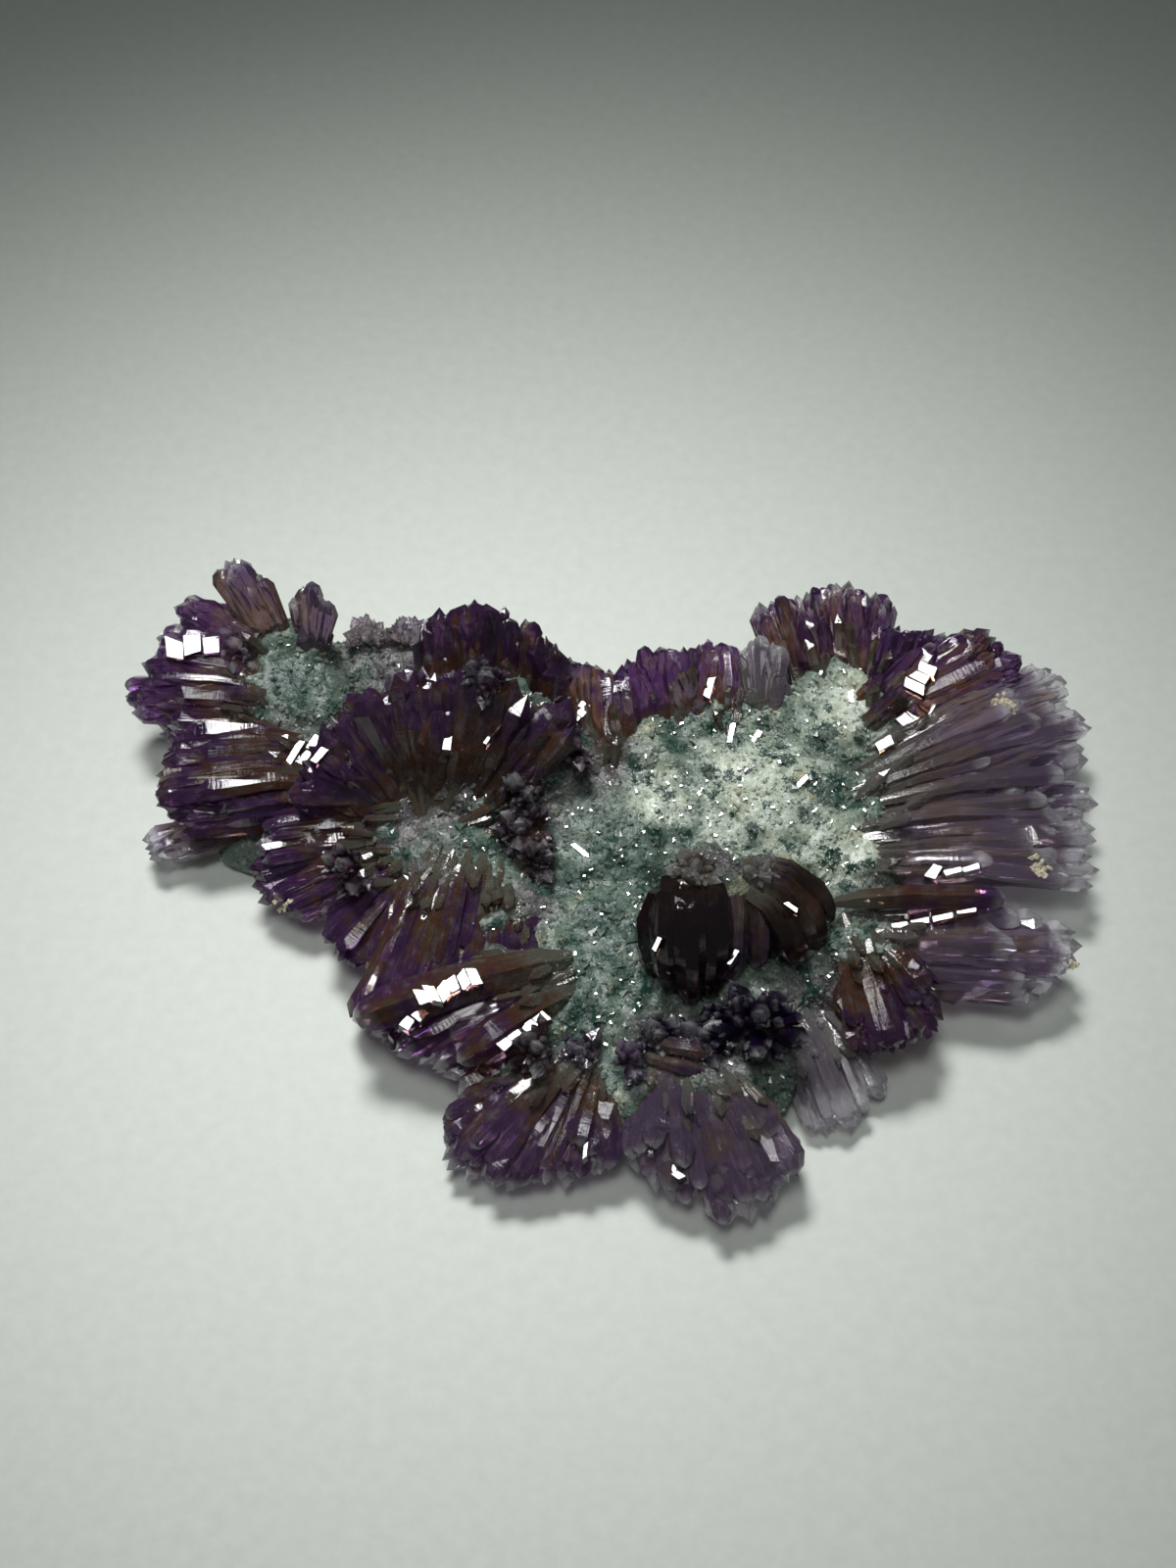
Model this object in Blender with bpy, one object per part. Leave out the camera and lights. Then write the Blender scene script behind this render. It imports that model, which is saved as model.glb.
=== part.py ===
"""Amethyst flower: sprays of quartz crystals grown outwards from one flat matrix of pale green quartz.

The whole specimen is one natural stone, so it is one solid. It lies on the flat broken underside of its
matrix. Lengths are in millimetres here and become metres where a mesh is made. +X is to the right and +Y
away from the viewer, with +Z up. The origin is on the underside, in the middle of the outline.
"""

import math
import random
from collections import namedtuple

import bmesh
import bpy
from mathutils import Matrix, Vector

MM = 0.001

# The tables below are laid out from a corner of the bowl. This is the middle of the finished outline.
OUTLINE_MIDDLE = Vector((2.6, -0.8, 0.0))

SIDES = 6
PYRAMID_SLOPE = math.tan(math.radians(51.8))
PETAL_ROOT_SHARE = (0.4, 0.75)
POINT_ROOT_SHARE = 0.85
BUNCH_START = 0.15
CORNER_JITTER = 0.12
SHOULDER_STAGGER = 0.3
APEX_DRIFT = 0.3

PETAL_GIRTH = 1.3
PETAL_WIDTH = (5.0, 10.0)
PETAL_DEPTH_SHARE = (0.75, 1.0)
SUNK_ROOT = 6.0
ROOT_DROP = 1.5
TIER_SETBACK = 0.24
TIER_RISE = 4.4
TIER_THINNING = 0.76
LOWER_TIER_START = 0.35

# A spray of petals. Each petal is one broad crystal that runs from the line of roots to the line of tips,
# both read evenly from end to end. Tiers lie one above the other, each shorter than the one below it.
Spray = namedtuple("Spray", "name petals tiers roots tips")

SPRAYS = (
    Spray("west spray", 5, 2,
          ((-63, 33, 13), (-67, 39, 15), (-68, 47, 16), (-66, 54, 17)),
          ((-83, 34, 10), (-91, 40, 11), (-94, 42, 13), (-89, 51, 15), (-86, 56, 16), (-82, 63, 17))),
    Spray("north west tuft", 3, 1,
          ((-66, 52, 17), (-62, 53, 18), (-60, 52, 18)),
          ((-76, 64, 25), (-70, 64, 28), (-65, 61, 25))),
    Spray("north west knob", 2, 1,
          ((-57, 51, 17), (-54, 50, 16)),
          ((-58, 59, 27), (-54, 58, 27), (-51, 55, 24))),
    Spray("south west spray", 4, 2,
          ((-64, 32, 13), (-55, 27, 16), (-51, 21, 15), (-51, 17, 12)),
          ((-82, 34, 13), (-84, 26, 15), (-85, 19, 17), (-84, 14, 15), (-78, 11, 11))),
    Spray("low west points", 2, 1,
          ((-69, 18, 7), (-66, 14, 7)),
          ((-87, 12, 7), (-86, 8, 6), (-81, 9, 6))),
    Spray("bowl west petal", 3, 1,
          ((-39, 15, 17), (-40, 10, 15), (-39, 7, 13)),
          ((-63, 11, 14), (-65, 7, 13), (-65, 1, 11), (-68, 3, 8))),
    Spray("bowl low petal", 3, 1,
          ((-39, 9, 13), (-37, 5, 12), (-35, 2, 12)),
          ((-65, -2, 9), (-62, -4, 8), (-56, -7, 7), (-51, -6, 8))),
    Spray("bowl south petal", 4, 1,
          ((-37, 5, 13), (-33, 2, 12), (-30, 1, 12)),
          ((-51, -11, 9), (-49, -15, 9), (-46, -17, 9), (-43, -15, 9), (-40, -12, 10))),
    Spray("south skirt", 5, 2,
          ((-33, -1, 16), (-27, -3, 17), (-19, -2, 16), (-12, -3, 14)),
          ((-43, -29, 9), (-36, -29, 9), (-28, -27, 10), (-19, -23, 11), (-11, -18, 12))),
    Spray("ridge spray", 4, 2,
          ((-21, -18, 15), (-12, -21, 18), (-7, -26, 17), (-8, -31, 14)),
          ((-43, -29, 12), (-41, -32, 10), (-36, -36, 9), (-30, -38, 8), (-26, -39, 9))),
    Spray("south spray", 6, 2,
          ((-15, -38, 12), (-10, -41, 13), (-4, -42, 13), (1, -40, 12), (4, -38, 12)),
          ((-28, -48, 9), (-27, -51, 6), (-25, -57, 6), (-18, -59, 6), (-10, -59, 6), (-4, -58, 7),
           (-1, -57, 8), (3, -56, 8))),
    Spray("south point", 5, 2,
          ((9, -40, 12), (14, -43, 14), (21, -44, 15), (28, -43, 13)),
          ((6, -56, 8), (10, -59, 8), (16, -63, 7), (25, -67, 6), (30, -65, 7), (33, -61, 7), (36, -59, 9))),
    Spray("pale fringe", 3, 1,
          ((33, -31, 9), (41, -29, 9), (47, -27, 9)),
          ((39, -48, 4), (45, -49, 4), (49, -44, 4), (53, -40, 4))),
    Spray("rust spray", 4, 2,
          ((45, -18, 16), (48, -17, 18), (53, -18, 19), (54, -18, 18)),
          ((46, -33, 13), (52, -38, 12), (56, -37, 12), (61, -33, 12), (61, -27, 15), (60, -23, 18))),
    Spray("east fingers", 4, 2,
          ((51, -19, 13), (52, -14, 17), (54, -9, 16)),
          ((81, -23, 9), (90, -17, 10), (91, -15, 12), (80, -8, 11))),
    Spray("east spray", 8, 2,
          ((55, -1, 13), (54, 7, 14), (54, 17, 14), (56, 29, 15), (62, 37, 17)),
          ((94, 0, 11), (95, 7, 11), (96, 15, 10), (97, 25, 10), (97, 38, 11), (95, 45, 13), (92, 47, 14))),
    Spray("east crest", 4, 2,
          ((53, 39, 19), (57, 37, 19), (60, 35, 18)),
          ((66, 47, 24), (76, 48, 24), (83, 47, 20), (84, 45, 18))),
    Spray("north spray", 5, 2,
          ((37, 43, 16), (43, 44, 18), (50, 44, 18), (55, 42, 17)),
          ((31, 61, 17), (36, 60, 21), (41, 60, 22), (46, 62, 24), (53, 62, 22), (59, 61, 19))),
    Spray("north blades", 3, 1,
          ((54, 38, 19), (57, 36, 19)),
          ((57, 52, 26), (61, 48, 25), (65, 49, 25))),
    Spray("north comb", 5, 1,
          ((8, 32, 15), (15, 34, 17), (23, 35, 17), (28, 36, 16)),
          ((7, 44, 20), (9, 47, 22), (14, 47, 22), (19, 47, 22), (23, 53, 18), (28, 51, 17))),
    Spray("north comb end", 2, 1,
          ((30, 37, 17), (36, 38, 17)),
          ((29, 47, 22), (33, 49, 23), (37, 47, 22))),
    Spray("saddle spray", 4, 1,
          ((-4, 24, 17), (2, 25, 17), (8, 28, 16)),
          ((-7, 47, 20), (-1, 45, 20), (6, 41, 19))),
    Spray("bowl crest", 4, 1,
          ((-31, 35, 26), (-23, 35, 28), (-16, 35, 28), (-8, 33, 25)),
          ((-31, 45, 34), (-26, 46, 38), (-19, 45, 39), (-12, 43, 37), (-5, 39, 31))),
    Spray("bowl back skirt", 4, 1,
          ((-40, 33, 13), (-30, 36, 15), (-20, 38, 16), (-10, 36, 15), (-2, 32, 13)),
          ((-44, 41, 14), (-35, 48, 19), (-24, 51, 22), (-12, 49, 22), (-2, 44, 18))),
    Spray("bowl wall", 6, 2,
          ((-38, 15, 16), (-35, 18, 17), (-30, 19, 18), (-23, 18, 18), (-18, 15, 16)),
          ((-50, 25, 27), (-47, 30, 31), (-37, 31, 35), (-28, 32, 37), (-19, 31, 37), (-8, 29, 32),
           (0, 26, 26))),
    Spray("bowl west wall", 3, 1,
          ((-39, 13, 15), (-39, 16, 16)),
          ((-50, 25, 27), (-56, 18, 24), (-58, 11, 20))),
    Spray("hanging rosette", 4, 2,
          ((16, -8, 27), (19, -11, 28), (23, -11, 28), (28, -9, 27)),
          ((9, -12, 22), (10, -20, 18), (17, -24, 16), (24, -25, 16), (31, -23, 16))),
    Spray("hanging bud", 3, 1,
          ((28, -7, 26), (31, -5, 25)),
          ((44, -10, 20), (43, -15, 18), (34, -17, 18))),
)

# A bunch of stubby crystals that point outwards from its middle, spread in degrees round its lean.
Bunch = namedtuple("Bunch", "name points width radius middle lean spread")

BUNCHES = (
    Bunch("violet bunch", 7, 6.0, 11.0, (29, -31, 13), (0.0, -0.2, 1.0), 75),
    Bunch("petal bunch", 3, 5.5, 8.0, (-44, 2, 13), (-0.3, -0.5, 1.0), 45),
    Bunch("wall bunch", 3, 5.5, 9.0, (-13, 15, 17), (0.2, -0.5, 1.0), 45),
    Bunch("saddle bunch", 3, 5.5, 8.0, (-3, 24, 19), (-0.1, -0.4, 1.0), 45),
    Bunch("rim bunch", 3, 5.5, 7.5, (-20, 30, 34), (0.1, -0.6, 0.9), 60),
    Bunch("centre bunch", 3, 5.0, 7.0, (-10, 3, 13), (0.3, -0.3, 1.0), 50),
    Bunch("rust bunch", 3, 6.0, 8.0, (-9, -36, 13), (-0.2, -0.3, 1.0), 40),
    Bunch("south bunch", 3, 5.0, 7.0, (7, -38, 12), (-0.1, 0.1, 1.0), 50),
    Bunch("west bunch", 3, 5.0, 8.0, (-69, 50, 14), (-0.2, -0.3, 1.0), 45),
)

# A flat-bottomed lumpy swelling of the matrix.
Swelling = namedtuple("Swelling", "name middle radii turn height")

SWELLINGS = (
    Swelling("east ground", (33, 19), (29, 26), 10, 17.0),
    Swelling("north ground", (46, 33), (16, 14), 0, 19.0),
    Swelling("comb ground", (15, 28), (18, 13), 0, 17.5),
    Swelling("saddle ground", (1, 13), (18, 18), 0, 17.0),
    Swelling("south ground", (2, -18), (19, 25), -8, 15.5),
    Swelling("south foot", (13, -38), (27, 11), 5, 13.5),
    Swelling("bunch ground", (27, -24), (16, 13), 0, 13.0),
    Swelling("east foot", (46, -12), (16, 16), 0, 14.5),
    Swelling("rust knoll", (49, -14), (10, 8), 0, 19.0),
    Swelling("rosette stalk", (22, -5), (9, 8), 0, 28.5),
    Swelling("bowl ground", (-29, 9), (17, 15), 0, 15.0),
    Swelling("bowl back", (-20, 27), (26, 14), -5, 24.0),
    Swelling("bowl rim", (-20, 34), (17, 8), -5, 30.0),
    Swelling("skirt ground", (-20, -5), (18, 12), 0, 16.0),
    Swelling("west slope", (-48, 24), (16, 14), 30, 15.5),
    Swelling("west ground", (-60, 43), (14, 16), 0, 16.5),
    Swelling("neck", (-42, 50), (20, 9), -8, 13.0),
    Swelling("low west foot", (-64, 19), (11, 10), 0, 9.0),
)

SWELLING_SIDES = 9
SWELLING_FOOT = (-4.0, 0.76)
SWELLING_WALL = (0.35, 1.0)
SWELLING_DOME = ((0.82, 0.82), (0.97, 0.45))
SWELLING_LUMPS = 0.08
LUMP_RISE = 0.8

UNDERSIDE_BLOCK = (260.0, 220.0, 30.0)


def along(points, share):
    """The point at share, from 0 to 1, of evenly read points."""
    place = max(0.0, min(share, 1.0)) * (len(points) - 1)
    before = min(int(place), len(points) - 2)
    return Vector(points[before]).lerp(Vector(points[before + 1]), place - before)


def line_length(points):
    return sum((Vector(after) - Vector(before)).length for before, after in zip(points, points[1:]))


def crystal(start, tip, width, depth, root_share, rng):
    """Corners and faces of a six-sided prism that widens from its start and ends in a six-faced point."""
    axis = (tip - start).normalized()
    level = Vector((0, 0, 1)).cross(axis)
    side = level.normalized() if level.length > 0.05 else Vector((1, 0, 0))
    top = axis.cross(side)
    twist = rng.uniform(-0.25, 0.25)
    point = 0.25 * (width + depth) * PYRAMID_SLOPE
    shoulder = max((tip - start).length - point, 0.3 * (tip - start).length)
    base, rim = [], []
    for corner in range(SIDES):
        angle = 2 * math.pi * (corner + 0.5) / SIDES + twist
        grow = 0.5 * (1 + rng.uniform(-CORNER_JITTER, CORNER_JITTER))
        out = side * (math.sin(angle) * width * grow) + top * (math.cos(angle) * depth * grow)
        low = start + out * root_share
        high = start + axis * shoulder + out
        edge = (high - low).normalized()
        base.append(low)
        rim.append(high + edge * rng.uniform(-1, 1) * SHOULDER_STAGGER * point)
    drift = side * rng.uniform(-1, 1) * width + top * rng.uniform(-1, 1) * depth
    corners = base + rim + [tip + drift * 0.5 * APEX_DRIFT]
    faces = [tuple(reversed(range(SIDES)))]
    for corner in range(SIDES):
        after = (corner + 1) % SIDES
        faces.append((corner, after, SIDES + after, SIDES + corner))
        faces.append((SIDES + corner, SIDES + after, 2 * SIDES))
    return corners, faces


def clamp(value, limits):
    return max(limits[0], min(value, limits[1]))


def spray_petals(spray):
    """Corners and faces of each petal of a spray, its long lowest tier first."""
    rng = random.Random(spray.name)
    for tier in range(spray.tiers):
        count = max(2, round(spray.petals * TIER_THINNING**tier))
        pulled = 1 - TIER_SETBACK * tier
        width = clamp(line_length(spray.tips) * pulled / count * PETAL_GIRTH, PETAL_WIDTH)
        root_share = clamp(line_length(spray.roots) / count * PETAL_GIRTH / width, PETAL_ROOT_SHARE)
        for number in range(count):
            share = (number + 0.5 + rng.uniform(-0.12, 0.12)) / count
            root = along(spray.roots, share) - Vector((0, 0, ROOT_DROP))
            tip = root.lerp(along(spray.tips, share), pulled * rng.uniform(0.94, 1.03))
            tip += Vector((0, 0, TIER_RISE * tier + rng.uniform(-1, 1)))
            hidden = LOWER_TIER_START if tier < spray.tiers - 1 else 0.0
            start = root.lerp(tip, hidden) - (tip - root).normalized() * SUNK_ROOT
            wide = width * rng.uniform(0.85, 1.15)
            yield crystal(start, tip, wide, wide * rng.uniform(*PETAL_DEPTH_SHARE), root_share, rng)


def bunch_points(bunch):
    """Corners and faces of each crystal of a bunch, spread evenly round its lean."""
    rng = random.Random(bunch.name)
    turn = Vector((0, 0, 1)).rotation_difference(Vector(bunch.lean))
    golden = math.pi * (3 - math.sqrt(5))
    middle = Vector(bunch.middle)
    for number in range(bunch.points):
        tilt = math.radians(bunch.spread) * math.sqrt(number / (bunch.points - 1))
        heading = golden * number + rng.uniform(-0.3, 0.3)
        way = Vector((math.sin(tilt) * math.cos(heading), math.sin(tilt) * math.sin(heading), math.cos(tilt)))
        way.rotate(turn)
        width = bunch.width * rng.uniform(0.85, 1.15)
        tip = middle + way * bunch.radius * rng.uniform(0.85, 1.1)
        yield crystal(middle + way * BUNCH_START * number, tip, width, width, POINT_ROOT_SHARE, rng)


def mesh_object(name, corners, faces, collection):
    mesh = bpy.data.meshes.new(name)
    mesh.from_pydata([(corner - OUTLINE_MIDDLE) * MM for corner in corners], [], faces)
    made = bmesh.new()
    made.from_mesh(mesh)
    bmesh.ops.recalc_face_normals(made, faces=made.faces)
    made.to_mesh(mesh)
    made.free()
    item = bpy.data.objects.new(name, mesh)
    collection.objects.link(item)
    return item


def swelling_mesh(swelling):
    """Corners and faces of a flat-bottomed lumpy dome."""
    rng = random.Random(swelling.name)
    levels = [SWELLING_FOOT]
    levels += [(up * swelling.height, out) for up, out in (SWELLING_WALL, *SWELLING_DOME)]
    turn = Matrix.Rotation(math.radians(swelling.turn), 3, "Z")
    middle = Vector((*swelling.middle, 0))
    corners = []
    for level, (height, out) in enumerate(levels):
        rise = LUMP_RISE if level else 0.0
        for number in range(SWELLING_SIDES):
            angle = 2 * math.pi * (number + 0.5 * (level % 2)) / SWELLING_SIDES
            lump = out * (1 + rng.uniform(-SWELLING_LUMPS, SWELLING_LUMPS))
            flat = Vector((swelling.radii[0] * math.cos(angle), swelling.radii[1] * math.sin(angle), 0)) * lump
            corners.append(middle + turn @ flat + Vector((0, 0, height + rng.uniform(-rise, rise))))
    corners.append(middle + Vector((0, 0, swelling.height)))
    faces = [tuple(reversed(range(SWELLING_SIDES)))]
    for level in range(len(levels) - 1):
        low, high = level * SWELLING_SIDES, (level + 1) * SWELLING_SIDES
        for number in range(SWELLING_SIDES):
            after = (number + 1) % SWELLING_SIDES
            if level % 2:
                faces.append((low + number, low + after, high + after))
                faces.append((low + number, high + after, high + number))
            else:
                faces.append((low + number, low + after, high + number))
                faces.append((low + after, high + after, high + number))
    last = (len(levels) - 1) * SWELLING_SIDES
    for number in range(SWELLING_SIDES):
        faces.append((last + number, last + (number + 1) % SWELLING_SIDES, len(corners) - 1))
    return corners, faces


def underside_block(collection):
    """The block that cuts everything flat at the level of the table."""
    wide, deep, high = UNDERSIDE_BLOCK
    corners = [
        Vector((x * wide / 2, y * deep / 2, z * high)) for z in (-1, 0) for y in (-1, 1) for x in (-1, 1)
    ]
    faces = [(0, 2, 3, 1), (4, 5, 7, 6), (0, 1, 5, 4), (2, 6, 7, 3), (0, 4, 6, 2), (1, 3, 7, 5)]
    return mesh_object("underside block", corners, faces, collection)


def helper_collection(name):
    made = bpy.data.collections.new(name)
    made.hide_render = True
    bpy.context.scene.collection.children.link(made)
    return made


def hide(item):
    item.hide_render = True
    item.display_type = "WIRE"


def quartz_material():
    made = bpy.data.materials.new("amethyst")
    made.use_nodes = True
    shader = made.node_tree.nodes["Principled BSDF"]
    shader.inputs["Base Color"].default_value = (0.16, 0.09, 0.22, 1)
    shader.inputs["Roughness"].default_value = 0.12
    shader.inputs["Metallic"].default_value = 0.0
    return made


def clear_scene():
    for item in list(bpy.data.objects):
        bpy.data.objects.remove(item)


def close_hollows(specimen):
    """Keep the outer skin of the joined solid, without the small hollows shut in between crystals."""
    depsgraph = bpy.context.evaluated_depsgraph_get()
    joined = bpy.data.meshes.new_from_object(specimen.evaluated_get(depsgraph))
    skin = bmesh.new()
    skin.from_mesh(joined)
    shells = []
    unseen = set(skin.verts)
    while unseen:
        shell = [unseen.pop()]
        for corner in shell:
            around = {edge.other_vert(corner) for edge in corner.link_edges} & unseen
            unseen -= around
            shell.extend(around)
        shells.append(shell)
    shells.sort(key=len)
    hollows = [corner for shell in shells[:-1] for corner in shell]
    bmesh.ops.delete(skin, geom=hollows, context="VERTS")
    skin.to_mesh(joined)
    skin.free()
    specimen.modifiers.clear()
    specimen.data = joined


def build():
    clear_scene()
    growth = helper_collection("growth")
    cutters = helper_collection("cutters")
    shapes = [shape for spray in SPRAYS for shape in spray_petals(spray)]
    shapes += [shape for bunch in BUNCHES for shape in bunch_points(bunch)]
    for number, (corners, faces) in enumerate(shapes):
        hide(mesh_object(f"crystal_{number}", corners, faces, growth))
    for swelling in SWELLINGS[1:]:
        hide(mesh_object(swelling.name, *swelling_mesh(swelling), growth))
    block = underside_block(cutters)
    hide(block)
    specimen = mesh_object("amethyst_flower", *swelling_mesh(SWELLINGS[0]), bpy.context.scene.collection)
    specimen.data.materials.append(quartz_material())
    union = specimen.modifiers.new("grown together", "BOOLEAN")
    union.operation = "UNION"
    union.operand_type = "COLLECTION"
    union.collection = growth
    union.solver = "EXACT"
    cut = specimen.modifiers.new("flat underside", "BOOLEAN")
    cut.operation = "DIFFERENCE"
    cut.object = block
    cut.solver = "EXACT"
    close_hollows(specimen)


build()
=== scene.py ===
"""Looks of the amethyst flower: see-through sprays of composite quartz petals on a milky green matrix.

Lengths in the tables are in millimetres, in the layout that the solid uses. They become metres, measured
from the middle of the outline, where a mesh is made. Every spray is rebuilt from the same roots and tips as
the solid's, with a bundle of parallel crystals in place of each broad one. The lights and the camera are in
metres from the same middle, but for the camera's aim and distance, which are in the tables' millimetres.
"""

import math
import random
from collections import namedtuple

import bmesh
import bpy
import numpy as np
from mathutils import Matrix, Vector, noise
from mathutils.bvhtree import BVHTree


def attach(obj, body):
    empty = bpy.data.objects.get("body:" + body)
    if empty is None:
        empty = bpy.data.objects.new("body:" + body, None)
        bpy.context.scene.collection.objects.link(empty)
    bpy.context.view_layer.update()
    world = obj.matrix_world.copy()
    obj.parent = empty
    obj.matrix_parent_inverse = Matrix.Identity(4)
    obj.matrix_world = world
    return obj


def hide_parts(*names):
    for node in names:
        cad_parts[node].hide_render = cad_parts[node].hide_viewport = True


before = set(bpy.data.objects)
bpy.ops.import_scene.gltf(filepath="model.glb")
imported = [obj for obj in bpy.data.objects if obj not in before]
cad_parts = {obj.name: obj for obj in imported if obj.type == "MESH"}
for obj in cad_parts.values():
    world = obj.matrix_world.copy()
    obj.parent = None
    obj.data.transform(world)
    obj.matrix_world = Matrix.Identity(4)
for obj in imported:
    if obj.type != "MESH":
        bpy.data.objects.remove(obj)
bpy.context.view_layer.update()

NODE = "amethyst_flower"
MM = 0.001
OUTLINE_MIDDLE = Vector((2.6, -0.8, 0.0))

SIDES = 6
PYRAMID_SLOPE = math.tan(math.radians(51.8))
PETAL_ROOT_SHARE = (0.4, 0.75)
BUNCH_START = 0.15
CORNER_JITTER = 0.12
SHOULDER_STAGGER = 0.3
APEX_DRIFT = 0.3

PETAL_GIRTH = 1.3
PETAL_SHIFT = 0.12
PETAL_REACH = (0.94, 1.03)
WIDTH_VARIES = (0.85, 1.15)
BUNCH_HEADING = 0.3
BUNCH_REACH = (0.85, 1.1)
PETAL_WIDTH = (5.0, 10.0)
PETAL_DEPTH_SHARE = (0.75, 1.0)
SUNK_ROOT = 6.0
ROOT_DROP = 1.5
TIER_SETBACK = 0.24
TIER_RISE = 4.4
TIER_THINNING = 0.76
LOWER_TIER_START = 0.35

# The solid draws this many random numbers for the corners of each crystal, so the layout skips as many.
DRAWS_PER_CRYSTAL = 15

# How the crystals of a spray look: the width of its fine ones, how broad and even the body is, the colour's
# warmth, smokiness and paleness, and how clear the tips are. Then how high the petals arch and how far their
# fine tips lie apart, as shares of the length, and how far a second tier dips.
Style = namedtuple("Style", "fine smooth warmth smoke pale clear arch stagger dive", defaults=(0.03, 0.06, 0))
USUAL_FINE = 2.6

# A spray of petals. Each petal runs from the line of roots to the line of tips, both read evenly from end to
# end. Tiers lie one above the other, each shorter than the one below it. The hanging sprays have no style,
# because their thick crystals are listed one by one further down.
Spray = namedtuple("Spray", "name petals tiers style roots tips")

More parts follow.
